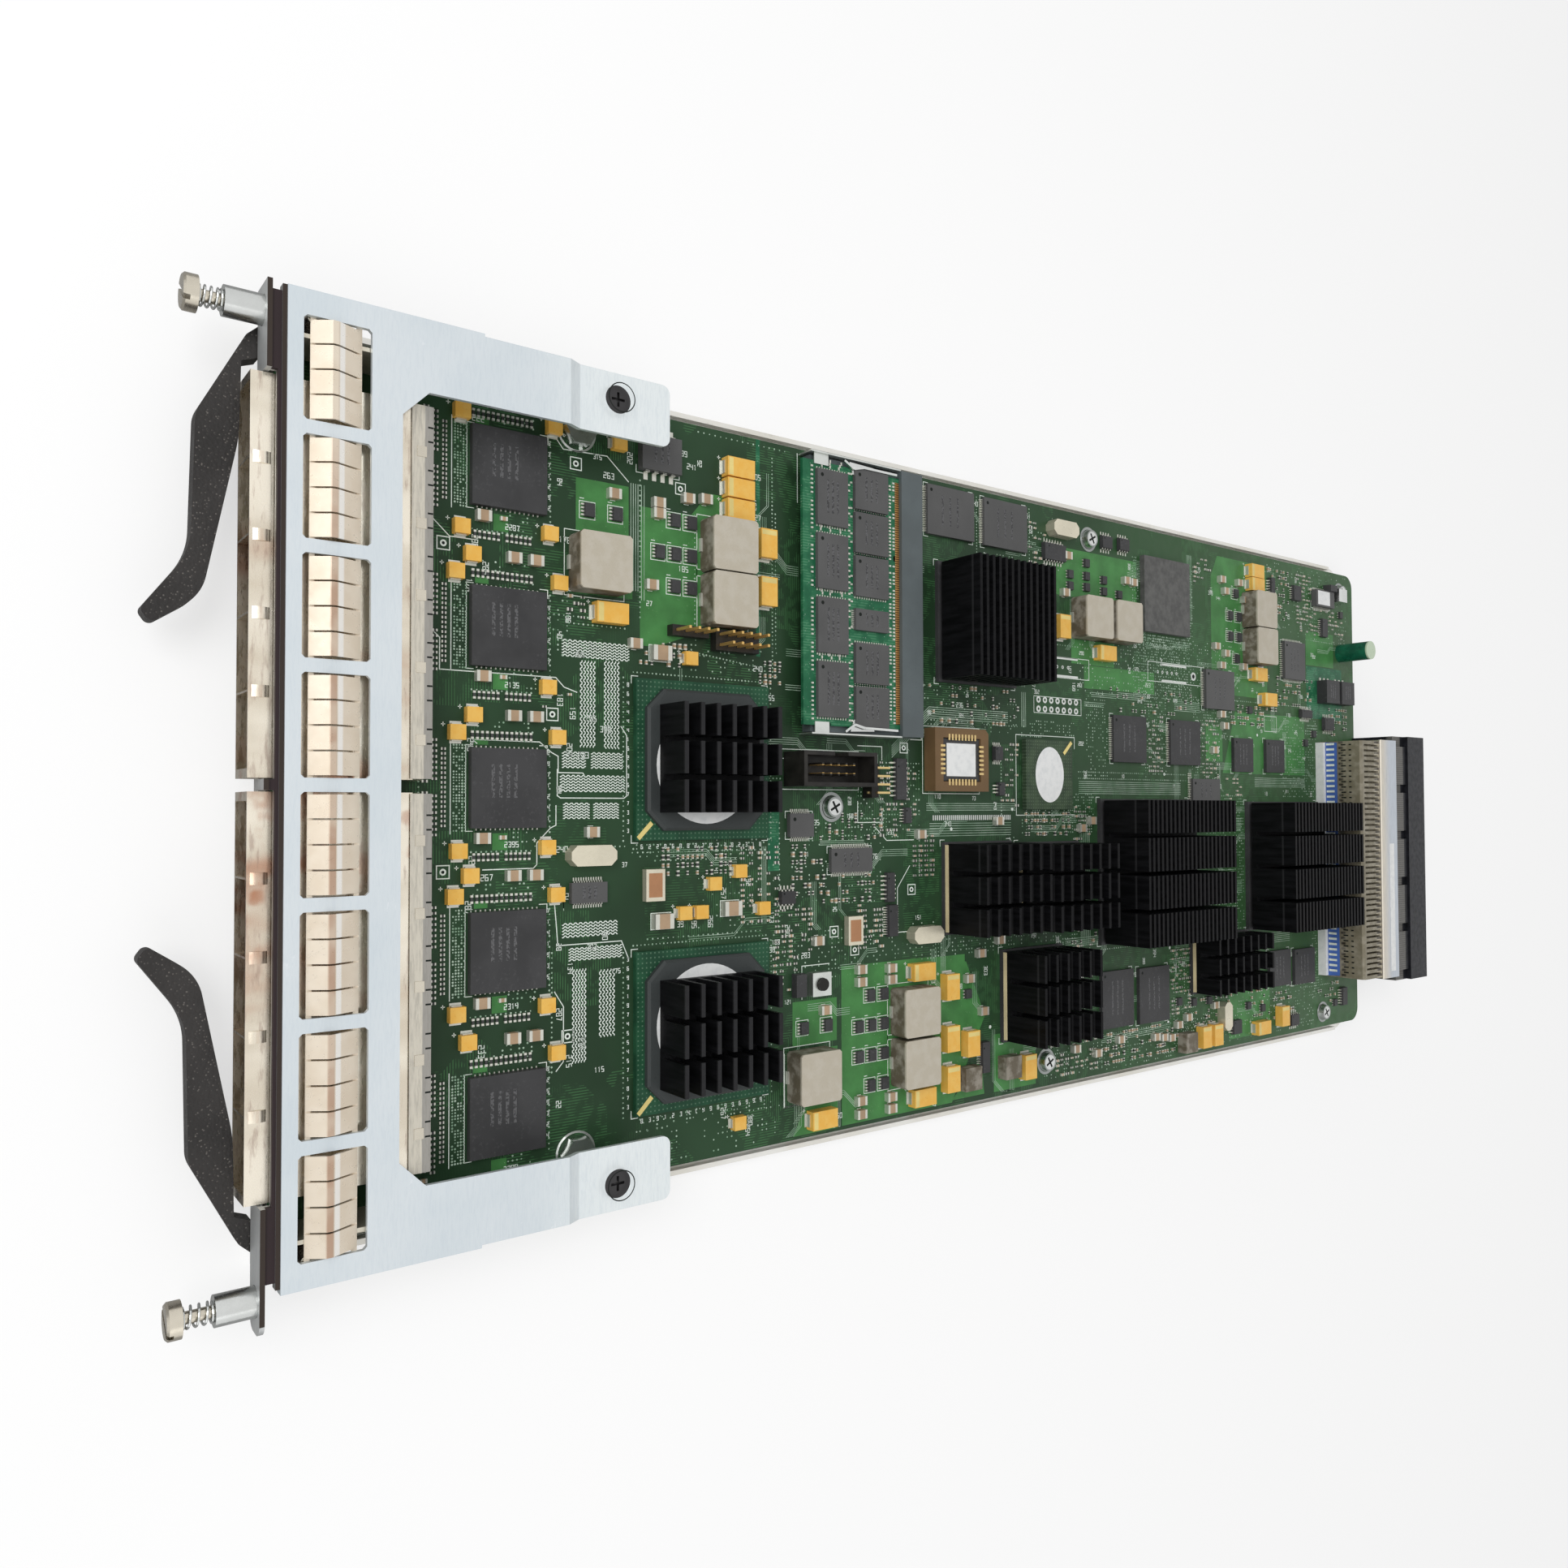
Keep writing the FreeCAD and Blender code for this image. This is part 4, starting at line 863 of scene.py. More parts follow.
FIGURES = {
    "0": [[(0, 0), (0, 2), (1, 2), (1, 0), (0, 0)]],
    "1": [[(0.5, 0), (0.5, 2), (0.15, 1.6)]],
    "2": [[(0, 2), (1, 2), (1, 1), (0, 1), (0, 0), (1, 0)]],
    "3": [[(0, 2), (1, 2), (1, 0), (0, 0)], [(0.3, 1), (1, 1)]],
    "4": [[(0, 2), (0, 1), (1, 1)], [(1, 2), (1, 0)]],
    "5": [[(1, 2), (0, 2), (0, 1), (1, 1), (1, 0), (0, 0)]],
    "6": [[(1, 2), (0, 2), (0, 0), (1, 0), (1, 1), (0, 1)]],
    "7": [[(0, 2), (1, 2), (0.4, 0)]],
    "8": [[(0, 0), (0, 2), (1, 2), (1, 0), (0, 0)], [(0, 1), (1, 1)]],
    "9": [[(0, 0), (1, 0), (1, 2), (0, 2), (0, 1), (1, 1)]],
}


# ---- what repeats, with Geometry Nodes -----------------------------------------------------------
class Pattern(Nodes):
    """One Geometry Nodes tree. It sets a small solid on each point, turned and sized by the point."""

    def __init__(self, name, inputs):
        super().__init__(bpy.data.node_groups.new(name, "GeometryNodeTree"))
        self.tree.interface.new_socket("Geometry", in_out="INPUT", socket_type="NodeSocketGeometry")
        self.keys = {}
        for label, value in inputs.items():
            made = self.tree.interface.new_socket(label, in_out="INPUT", socket_type="NodeSocketFloat")
            made.default_value = value * MM
            made.subtype = "DISTANCE"
            self.keys[label] = made.identifier
        self.tree.interface.new_socket("Geometry", in_out="OUTPUT", socket_type="NodeSocketGeometry")
        self.group = self.node("NodeGroupInput")
        self.inputs = {label: self.group.outputs[label] for label in inputs}

    def sum(self, operation, a, b):
        return self.node("ShaderNodeMath", {"operation": operation}, {0: a, 1: b}).outputs[0]

    def vector(self, x=0.0, y=0.0, z=0.0):
        return self.node("ShaderNodeCombineXYZ", None, {0: x, 1: y, 2: z}).outputs[0]

    def stood(self, solid, high, x=0.0, y=0.0, z=0.0):
        """A solid of that height, stood on height z with its middle at x, y."""
        middle = self.sum("ADD", z, self.sum("MULTIPLY", high, 0.5))
        return self.node("GeometryNodeTransform", None,
                         {0: solid.outputs[0], "Translation": self.vector(x, y, middle)}).outputs[0]

    def block(self, wide, long, high, *place):
        return self.stood(self.node("GeometryNodeMeshCube", None, {"Size": self.vector(wide, long, high)}),
                          high, *place)

    def stub(self, r, high, sides):
        return self.stood(self.node("GeometryNodeMeshCylinder", None,
                                    {"Vertices": sides, "Radius": r, "Depth": high}), high)

    def joined(self, *solids):
        made = self.node("GeometryNodeJoinGeometry")
        for solid in solids:
            self.tree.links.new(solid, made.inputs[0])
        return made.outputs[0]

    def lay(self, name, solid, places, finish_name, slot):
        """Ends the tree, runs it on the places and keeps the result as one plain mesh."""
        turn = self.node("GeometryNodeInputNamedAttribute", {"data_type": "FLOAT"}, {"Name": "turn"})
        grow = self.node("GeometryNodeInputNamedAttribute", {"data_type": "FLOAT_VECTOR"}, {"Name": "grow"})
        put = self.node("GeometryNodeInstanceOnPoints", None, {
            "Points": self.group.outputs[0], "Instance": solid,
            "Rotation": self.vector(0.0, 0.0, turn.outputs[0]), "Scale": grow.outputs[0]})
        real = self.node("GeometryNodeRealizeInstances", None, {0: put.outputs[0]})
        coat = self.node("GeometryNodeSetMaterial", None,
                         {0: real.outputs[0], "Material": finish(finish_name)})
        end = self.node("NodeGroupOutput")
        self.tree.links.new(coat.outputs[0], end.inputs[0])
        seedling = bpy.data.meshes.new(name + " places")
        seedling.from_pydata([at(*p[:3]) for p in places], [], [])
        turns = seedling.attributes.new("turn", "FLOAT", "POINT")
        turns.data.foreach_set("value", [math.radians(p[3]) for p in places])
        grows = seedling.attributes.new("grow", "FLOAT_VECTOR", "POINT")
        grows.data.foreach_set("vector", [c for p in places for c in p[4]])
        host = bpy.data.objects.new(name + " places", seedling)
        bpy.context.scene.collection.objects.link(host)
        rule = host.modifiers.new("Pattern", "NODES")
        rule.node_group = self.tree
        for label, key in self.keys.items():
            rule[key] = self.tree.interface.items_tree[label].default_value
        bpy.context.view_layer.update()
        ready = host.evaluated_get(bpy.context.evaluated_depsgraph_get())
        mesh = bpy.data.meshes.new_from_object(ready)
        mesh.name = name
        host.modifiers.clear()
        bpy.data.objects.remove(host)
        if not mesh.materials:
            mesh.materials.append(finish(finish_name))
        return add_piece(name, mesh)


def lay_blocks(name, size, places, finish_name, slot):
    """One size of block on every place."""
    pattern = Pattern(name, dict(zip(("Length", "Width", "Height"), size)))
    pattern.lay(name, pattern.block(*pattern.inputs.values()), places, finish_name, slot)


ONE = (1.0, 1.0, 1.0)


def row(x, y, count, dx, dy, turn, grow=ONE):
    """Places on the board in a straight row from x, y."""
    return [(x + i * dx, y + i * dy, 0.0, turn, grow) for i in range(count)]


# ---- the printed board --------------------------------------------------------------------------
PORT_CHIPS = [(centre(b)[0], b) for b in sorted(bricks("port_chips"))]
LAST_CHIP = 70  # chips that end beyond this x have no parts on their far side

# the corners of each wide copper area
POURS = [
    [(-70, 67.6), (-58, 67.6), (-58, 81), (-70, 81)],
    [(-66, 84), (-33.5, 84), (-33.5, 88), (-37, 98), (-41, 116.6), (-72, 116.6), (-72, 103), (-66, 98)],
    [(-56, 67.6), (-44, 67.6), (-44, 82), (-56, 82)],
    [(45.6, 144), (87, 144), (87, 184), (64, 197.5), (48, 190), (45.6, 176)],
    [(53.4, 128), (64.5, 128), (64.5, 142.4), (53.4, 142.4)],
    [(66, 140), (87.2, 128), (87.2, 142.6), (66, 142.6)],
    [(-84.6, 316), (-77, 312), (-36, 312), (-35.6, 347), (-84.6, 347)],
    [(-63.4, 374), (-50.4, 374), (-50.4, 394), (-63.4, 394)],
    [(-40.6, 243), (-33.4, 243), (-33.4, 279), (-40.6, 279)],
    [(-76.5, 230), (-61.6, 230), (-61.6, 270), (-76.5, 270)],
    [(-48.4, 237), (-40.8, 237), (-40.8, 258), (-48.4, 258)],
    [(-30, 326), (-8, 318), (-8, 372), (-30, 372)],
    [(70, 201), (86.6, 201), (86.6, 219), (70, 219)],
    [(66.5, 320), (85.6, 320), (85.6, 346), (66.5, 346)],
    [(76, 196), (86.4, 184), (86.4, 197)],
    [(-24.5, 308), (-12, 308), (-12, 318), (-24.5, 318)],
]

BUNDLES = [
    # serpentine lines between the port chips and the switch chips: x0, x1, y0, y1, lines, along
    (-33.4, -29.4, 64.2, 81.2, 6, "y"), (-28.9, -9.2, 68.6, 72.6, 5, "x"), (-29.3, -9.2, 74.6, 78.7, 5, "x"),
    (-8.4, -4.6, 64.3, 70.2, 6, "y"), (-8.4, -4.6, 71.4, 79.5, 6, "y"), (-3.2, 0.7, 63.8, 80.1, 6, "y"),
    (3.0, 6.7, 64.6, 71.4, 6, "y"), (3.0, 6.7, 72.0, 78.8, 6, "y"),
    (29.6, 33.0, 64.4, 78.2, 5, "y"), (35.2, 38.2, 66.0, 79.6, 5, "y"), (40.0, 61.0, 66.8, 70.4, 5, "x"),
    (40.6, 55.8, 73.4, 77.6, 5, "x"),
]

LEGEND_LINES = [
    [(-56.8, 34), (-52.6, 38.6), (-52.6, 43.4)],
    [(-78, 62.6), (-75.7, 64.5), (-76.1, 75.4), (-71.1, 81)],
    [(-34, 33.6), (-31.2, 36.6), (-24.6, 36.6), (-24.6, 62.8), (-22.6, 64.8), (-21.6, 68)],
    [(-9.4, 44.8), (-10.2, 43.8), (-10.2, 59), (-8.0, 61.8), (-7.2, 63.4), (-3.6, 63.4), (-3.6, 69.4),
     (-3.1, 69.8)],
    [(-4.4, 63.2), (1.5, 63.2), (2.0, 64), (2.0, 79.8), (1.5, 80.5), (-12.4, 80.5), (-14.5, 79)],
    [(3.6, 62.9), (8, 62.9), (8.6, 61.6), (11.8, 58.4), (16.5, 58.4), (17.3, 57.6), (17.3, 46)],
    [(25.4, 62.6), (29.5, 63), (34.5, 63.4), (34.5, 79.2), (38.6, 81)],
    [(44.5, 62.6), (48, 64.8), (60, 64.8), (62, 63)],
    [(-8.3, 122.4), (-8.3, 151.2), (-1.2, 151.2)],
    [(-12.3, 149.8), (-12.3, 158.4), (-8.6, 158.4)],
    [(2.4, 149.8), (8.1, 149.8), (8.1, 158.4), (5, 158.4)],
    [(-74, 130), (-86.8, 130)], [(-14.6, 168.8), (-14.6, 173), (-16.5, 173)],
    [(8.6, 155), (13, 160), (13, 170)], [(20, 168.4), (26, 163.8), (38, 163.8), (38, 170.2)],
    [(44.5, 140), (44.5, 131), (53, 131)], [(79.4, 140), (79.4, 125.4), (66, 125.4)],
    [(-14, 238), (-17.6, 238), (-17.6, 211.4), (6.4, 211.4), (6.4, 238)],
]

# printed frames round larger parts: x0, x1, y0, y1
LEGEND_FRAMES = [
    (-44.4, -37.9, 275.6, 305.5), (-42.3, -35.9, 219.5, 245.4), (-29.6, -24.6, 219.5, 241.4),
    (-18.6, 0.2, 173.4, 195.8), (-58.0, -43.2, 64.8, 79.8), (-66.5, -51.6, 99.6, 114.5),
    (-53.2, -38.4, 99.6, 114.5), (51.8, 66.6, 160.0, 175.0), (65.4, 80.2, 160.0, 175.0),
    (64.6, 79.4, 125.2, 140.0), (-10.7, -0.5, 118.0, 150.1), (-29.4, -23.8, 344.8, 352.8),
]

TEST_POINTS = [(-73.0, 67.6), (-51.0, 37.3), (-16.4, 62.0), (17.5, 37.5), (54.6, 65.8), (-71.8, 95.0),
               (26.6, 169.0), (41.6, 148.6), (-12.2, 166.4), (36.4, 141.6)]

TEST_HOLE = 0.34

# wider plated holes: x, y, radius
HOLES = ((-40.9, 301.1, 0.75), (-32.5, 374.1, 0.6), (-36.2, 209.4, 0.6))

SILK_DOTS = (
    (-76.6, 68.8), (-6.0, 141.6), (-62.5, 298.6), (-38.2, 374.8), (52.0, 248.0), (51.0, 286.0), (2.0, 216.4),
    (75.6, 284.8), (-24.0, 272.0), (-7.0, 284.0), (-22.2, 340.0), (4.6, 209.6), (67.6, 199.6), (10.2, 184.4),
    (86.0, 176.0), (-3.0, 393.0),
)

# the middles of the power transistors, the small dark ones and the ceramic capacitors
FIELD_EFFECT = [
    (-62.9, 70.4), (-63.0, 77.5), (-63.9, 93.0), (-63.9, 97.6), (-55.9, 88.8), (-55.9, 93.2), (-55.9, 97.6),
    (-48.2, 93.0), (-48.2, 97.6), (54.0, 153.5), (54.0, 158.2), (61.9, 149.4), (61.9, 153.8), (61.9, 158.2),
    (69.8, 149.4), (69.8, 153.8), (69.8, 158.2), (77.8, 153.5), (77.8, 158.2), (60.2, 138.8), (60.2, 131.0),
    (-72.3, 326.4), (-64.1, 322.8), (-64.1, 328.2), (-56.8, 322.8), (-56.8, 328.2), (-49.0, 326.6),
]

SMALL_DARK = [
    (-68.4, 236.2), (-64.8, 236.2), (-72.8, 244.1), (-68.7, 244.1), (-65.2, 244.1), (-68.4, 252.6),
    (-64.8, 252.6), (-64.6, 260.3), (57.1, 190.2), (69.3, 290.4), (70.2, 298.6), (70.5, 307.5),
    (76.5, 340.6), (74.8, 331.4), (79.6, 391.0), (-71.7, 399.1), (-24.0, 378.0), (-20.4, 372.0),
    (-31.0, 334.6),
]

CERAMICS = [
    (-67.5, 76.8), (-47.8, 86.6), (-33.7, 82.3), (9.6, 71.3), (46.8, 150.0), (50.1, 150.0), (47.3, 160.6),
    (50.3, 160.6), (52.7, 190.3), (56.2, 137.9), (81.2, 149.8), (84.7, 149.8), (81.7, 160.4), (84.8, 160.4),
    (-67.3, 88.5), (-64.8, 88.5), (-70.2, 101.6), (-69.6, 96.6), (-73.9, 234.5), (-69.5, 263.4),
    (-69.3, 267.1), (-62.3, 233.3), (-76.3, 317.4), (-72.4, 319.6), (-76.3, 328.2), (-50.3, 319.5),
    (-45.9, 316.8), (-46.3, 330.4), (-70.5, 331.5), (-20.5, 170.6), (11.5, 171.7), (45.9, 195.0),
    (42.6, 203.0), (62.5, 196.0), (10.5, 240.3), (78.0, 258.1), (79.4, 276.7), (80.0, 280.9), (80.6, 285.0),
    (76.8, 289.2), (74.9, 294.6), (78.3, 236.5), (80.9, 246.7), (38.3, 135.6), (-28.6, 316.4),
    (-24.6, 318.2), (-52.4, 313.6), (8.2, 245.0), (8.0, 202.8), (-15.9, 311.6), (72.4, 310.4),
]

BIG_CERAMICS = [(-32.0, 89.1), (30.6, 89.6), (28.6, 108.9)]

# small outline packages: middle, size across and along, lead side, leads on each side, pitch
SMALL_OUTLINES = [
    (-74.1, 228.4, 5.2, 10.0, "x", 7, 1.27), (-80.6, 253.6, 4.0, 5.0, "x", 4, 1.27),
    (-81.0, 262.3, 4.0, 5.0, "x", 4, 1.27), (26.8, 125.9, 3.4, 4.6, "x", 4, 1.1),
    (-3.6, 164.4, 11.4, 3.9, "y", 8, 1.27), (25.6, 160.4, 8.0, 2.8, "y", 6, 1.2),
    (34.6, 161.2, 8.6, 3.4, "y", 12, 0.65), (-11.7, 202.8, 4.2, 3.4, "x", 5, 0.65),
    (-1.3, 203.9, 4.0, 2.6, "y", 3, 1.0), (6.3, 166.9, 4.4, 2.4, "y", 5, 0.8),
    (-76.8, 366.4, 5.8, 5.2, "y", 6, 0.8), (-65.4, 385.9, 7.2, 4.0, "y", 8, 0.8),
    (-28.2, 388.2, 5.0, 7.0, "x", 5, 1.27), (83.0, 361.0, 4.2, 5.4, "x", 4, 1.27),
    (77.7, 397.0, 7.0, 3.6, "y", 6, 1.0), (81.4, 323.4, 5.0, 5.2, "y", 4, 1.1),
    (-76.0, 349.6, 9.4, 2.8, "y", 8, 1.0), (-31.4, 372.0, 3.2, 7.6, "x", 6, 1.1),
    (75.8, 196.6, 9.0, 3.2, "y", 12, 0.65),
]

TRACE_RUNS = [
    # the first line's corners, how many lines, step across x, step across y
    ((-71.0, 81.6), (-46.0, 81.6), 4, 0.0, 0.62), ((-71.0, 84.4), (-44.0, 84.4), 2, 0.0, 0.7),
    ((3.0, 174.8), (3.0, 211.0), 4, 0.62, 0.0), ((8.6, 176.0), (8.6, 209.0), 6, 0.7, 0.0),
    ((-32.9, 259.5), (-32.9, 274.2), 4, 0.6, 0.0), ((-31.8, 290.0), (-31.8, 304.6), 6, 0.62, 0.0),
    ((-32.2, 246.4), (-32.2, 259.0), 3, 0.6, 0.0), ((-29.0, 243.0), (-29.0, 252.6), 3, 0.6, 0.0),
    ((-6.6, 338.0), (-6.6, 372.0), 6, 0.62, 0.0), ((-27.2, 374.0), (-27.2, 381.5), 4, 1.1, 0.0),
    ((-40.4, 368.0), (-34.0, 368.0), 3, 0.0, 0.8), ((49.0, 243.0), (56.0, 243.0), 5, 0.0, 0.55),
    ((44.6, 233.0), (44.6, 249.0), 5, 0.6, 0.0), ((50.0, 336.0), (50.0, 360.0), 6, 0.7, 0.0),
    ((-88.0, 33.0), (-88.0, 60.0), 3, 0.7, 0.0), ((-27.0, 126.0), (-27.0, 171.0), 3, 0.6, 0.0),
    ((12.8, 137.0), (12.8, 152.0), 3, 0.5, 0.0),
    ((-12.6, 162.0), (-24.0, 176.0), (-24.0, 208.0), 6, 0.62, 0.0),
    ((-30.4, 214.0), (-20.0, 214.0), 4, 0.0, 0.6), ((-4.0, 240.0), (-4.0, 293.0), 7, 0.62, 0.0),
    ((12.0, 240.5), (47.0, 240.5), 8, 0.0, 0.62), ((30.0, 298.0), (30.0, 329.0), 8, 0.62, 0.0),
    ((8.0, 298.0), (8.0, 329.0), 8, 0.62, 0.0), ((-82.6, 298.0), (-60.0, 298.0), 5, 0.0, 0.62),
    ((-24.0, 357.0), (-10.0, 357.0), 4, 0.0, 0.62), ((76.4, 250.0), (76.4, 286.0), 4, 0.62, 0.0),
    ((22.0, 62.0), (22.0, 64.8), (26.4, 64.8), 2, 0.5, 0.0),
    ((-60.0, 212.0), (-32.0, 212.0), 6, 0.0, 0.7), ((49.8, 232.5), (70.0, 232.5), 6, 0.0, 0.7),
    ((13.8, 118.6), (33.0, 118.6), 3, 0.0, 0.6),
]

VIA_ROWS = [
    # straight rows of vias: from x, y to x, y, then the pitch
    (-37, 66, -37, 80, 1.2), (-38.6, 60, -38.6, 80, 1.2), (-34, 90.5, -31, 116, 1.0),
    (-40, 84, -72, 84, 1.2), (-66, 99, -40, 99, 1.1), (-70, 123, -36, 123, 1.1), (-84, 122, -30, 122, 1.0),
    (13, 64, 13, 80, 1.2), (14.5, 82, 14.5, 118, 1.4), (16.5, 88, 16.5, 112, 1.4),
    (34.6, 86, 34.6, 118, 1.4), (36, 62, 62, 62, 1.1), (8, 124, 34, 124, 1.3), (12, 172, 22, 172, 1.2),
    (-10.6, 205, 8, 205, 1.0), (-20, 198, -20, 212, 1.2), (48, 128, 48, 142, 1.2), (52, 176, 78, 176, 1.4),
    (52, 178, 78, 178, 1.4), (-46, 214, -46, 240, 1.2), (-50, 268, -50, 300, 1.1),
    (-52, 268, -52, 300, 1.1), (-34, 308, -34, 372, 1.2), (-28, 320, -28, 350, 1.2),
    (-7, 240, -7, 296, 1.0), (-5, 240, -5, 296, 1.0), (0, 298, 0, 330, 1.3), (49, 240, 49, 290, 1.1),
    (52.5, 300, 52.5, 296, 1.0), (76, 250, 76, 286, 1.2), (70, 232, 46, 232, 1.0),
    (-66, 214, -34, 214, 1.0), (-86, 218, -70, 218, 1.1), (-86, 172, -70, 172, 0.9),
    (-86, 195.4, -70, 195.4, 0.9), (-72, 128.6, -20, 128.6, 2.4), (72, 368, 72, 392, 1.3),
    (-84, 352, -60, 352, 1.2), (-60, 374, -60, 400, 1.2), (-86.5, 100, -86.5, 126, 1.6),
    (87, 60, 87, 120, 1.9), (-8, 160, -8, 172, 1.0), (6, 172, 6, 160, 1.0),
]

VIA_FIELDS = [
    # scattered vias: x0, x1, y0, y1, pitch, share kept
    (-12, 8, 121, 125, 1.1, 0.4), (12, 34, 100, 124, 1.3, 0.22), (6, 30, 128, 160, 1.1, 0.26),
    (-30, -18, 172, 212, 1.2, 0.3), (5, 12, 214, 238, 0.95, 0.55), (-22, -16.6, 214, 238, 0.95, 0.4),
    (40, 46, 178, 240, 1.1, 0.4), (70, 87, 222, 250, 1.0, 0.35), (76, 87, 250, 296, 1.2, 0.4),
    (49, 86, 288, 300, 1.0, 0.4), (68, 88, 300, 376, 1.2, 0.3), (-86, -60, 200, 232, 1.3, 0.2),
    (-53, -32, 240, 330, 1.2, 0.28), (-54, -32, 268, 300, 0.9, 0.5), (-32, -6, 244, 254, 1.0, 0.4),
    (-32, -6, 274, 285, 1.0, 0.4), (-32, -20, 304, 322, 1.0, 0.35), (-88, -60, 344, 404, 1.3, 0.22),
    (-30, 0, 356, 380, 1.0, 0.35), (-34, 0, 300, 316, 1.0, 0.3), (46, 76, 376, 382, 1.0, 0.5),
    (-8, 12, 150, 172, 1.0, 0.3), (36, 46, 120, 178, 1.1, 0.3), (48, 70, 232, 246, 0.9, 0.4),
    (-36, -28, 92, 124, 1.2, 0.3), (-44, -28, 60, 66, 1.1, 0.3), (76, 88, 86, 124, 1.3, 0.22),
    (0, 12, 236, 247, 0.9, 0.5), (-78, -53, 268, 271, 0.9, 0.6), (-53, -50, 272, 298, 0.9, 0.6),
    (-79, -53, 298, 301, 0.9, 0.5), (1, 48, 297, 330, 1.0, 0.45), (13, 42, 208.4, 210.8, 0.9, 0.6),
]

CLUSTERS = [
    # small parts: x0, x1, y0, y1, step x, step y, share kept, turn; a share of 0 stays bare
    (14, 33, 112.5, 123, 1.3, 2.6, 0.55, 90), (12, 20, 90, 110, 1.9, 1.35, 0.6, 0),
    (30, 42, 123, 135, 1.3, 2.1, 0.6, 90), (12, 26, 128, 138, 2.0, 1.3, 0.5, 0),
    (6, 12, 140, 158, 1.5, 2.2, 0.5, 0), (22, 30, 138, 156, 2.1, 1.3, 0.5, 0),
    (-8, 12, 158, 172, 1.4, 2.4, 0.5, 90), (12, 24, 170, 177, 1.35, 2.2, 0.9, 90),
    (30, 42, 150, 158, 1.4, 1.9, 0.6, 90), (-30, -20, 176, 212, 2.4, 1.5, 0.35, 0),
    (-16, 4, 205, 212, 1.5, 2.1, 0.5, 90), (6, 12, 214, 236, 2.0, 1.3, 0.55, 0),
    (72, 86, 226, 248, 1.5, 2.3, 0.6, 90), (76, 86, 250, 290, 2.2, 1.35, 0.55, 0),
    (52, 74, 287, 297, 1.4, 2.3, 0.55, 90), (70, 86, 300, 322, 2.0, 1.5, 0.45, 0),
    (70, 82, 334, 362, 2.2, 1.6, 0.4, 0), (72, 80, 376, 400, 2.2, 1.7, 0.35, 0),
    (-86, -64, 348, 362, 2.2, 1.5, 0.4, 0), (-84, -62, 368, 377, 1.5, 2.2, 0.5, 90),
    (-72, -62, 378, 400, 1.6, 2.2, 0.5, 90), (-44, -32, 346, 378, 2.4, 1.5, 0.3, 0),
    (-32, -26, 322, 344, 2.0, 1.4, 0.5, 0), (-26, -8, 276, 284, 1.5, 2.1, 0.55, 90),
    (-26, -6, 306, 316, 1.5, 2.2, 0.5, 90), (-34, -26, 256, 300, 2.2, 1.6, 0.3, 0),
    (-56, -32, 214, 222, 1.6, 2.4, 0.3, 90), (-82, -66, 218, 226, 1.5, 2.2, 0.45, 90),
    (40, 46, 236, 250, 1.9, 1.4, 0.4, 0), (47, 60, 236, 246, 1.4, 2.2, 0.5, 90),
    (-40, -28, 40, 42, 1.4, 2.0, 0.0, 90), (-46, -38, 66, 70, 1.5, 1.6, 0.5, 90),
    (-34, -28, 84, 96, 2.2, 1.5, 0.5, 0), (-32, -27, 118, 124, 1.6, 1.5, 0.6, 0),
    (-14, -10, 384, 404, 1, 1, 0.0, 0), (-34, -24, 390, 404, 2.4, 1.8, 0.5, 0),
    (42, 52, 120, 130, 1.6, 2.2, 0.5, 90), (4, 14, 238, 246, 1.4, 2.1, 0.5, 90),
    (-6, 2, 320, 330, 1.4, 2.1, 0.4, 90), (-24, -18, 60, 66, 1.5, 2.0, 0.2, 90),
    (13, 34, 171, 176, 1.35, 1.3, 0.0, 90), (-82, -72, 302, 312, 1.6, 2.2, 0.35, 90),
]


def dotted(x0, y0, x1, y1, pitch):
    count = max(1, round(math.hypot(x1 - x0, y1 - y0) / pitch))
    return [(x0 + (x1 - x0) * i / count, y0 + (y1 - y0) * i / count) for i in range(count + 1)]


def scattered(dice, x0, x1, y0, y1, pitch, kept):
    """Points of a grid, of which about the share kept stays."""
    spots = []
    for i in range(int((x1 - x0) / pitch) + 1):
        for k in range(int((y1 - y0) / pitch) + 1):
            if dice.random() < kept:
                spots.append((x0 + i * pitch, y0 + k * pitch))
    return spots


def over(boxes, x, y, margin):
    """Whether this spot is within one of the boxes or nearer to it than the margin."""
    return any(b[0] - margin < x < b[1] + margin and b[2] - margin < y < b[3] + margin for b in boxes)


def covered(x, y, margin):
    """Whether a part of the card stands over this spot of the board."""
    return over(BUILT_UP, x, y, margin)


BUILT_UP = [b[:4] for node in (
    "port_chips", "switch_chip_bases", "sink_chips", "dimm_slot", "dimm_board", "power_inductors",
    "small_inductors", "tantalum_capacitors", "flash_chips", "memory_chips", "logic_chips",
    "control_chips", "crystals", "chip_socket", "box_header", "reset_switch", "power_blocks",
    "connector_wafers", "board_screws", "hex_nuts", "frame_posts", "electrolytic_capacitor",
    "pin_headers") for b in bricks(node)]
BUILT_UP += [(x - w / 2, x + w / 2, y - l / 2, y + l / 2) for x, y, w, l, *_ in SMALL_OUTLINES]
BUILT_UP += [(x - 1.9, x + 1.9, y - 1.9, y + 1.9) for x, y in FIELD_EFFECT]
BUILT_UP += [(x - 1.5, x + 1.5, y - 1.5, y + 1.5) for x, y in SMALL_DARK + CERAMICS]


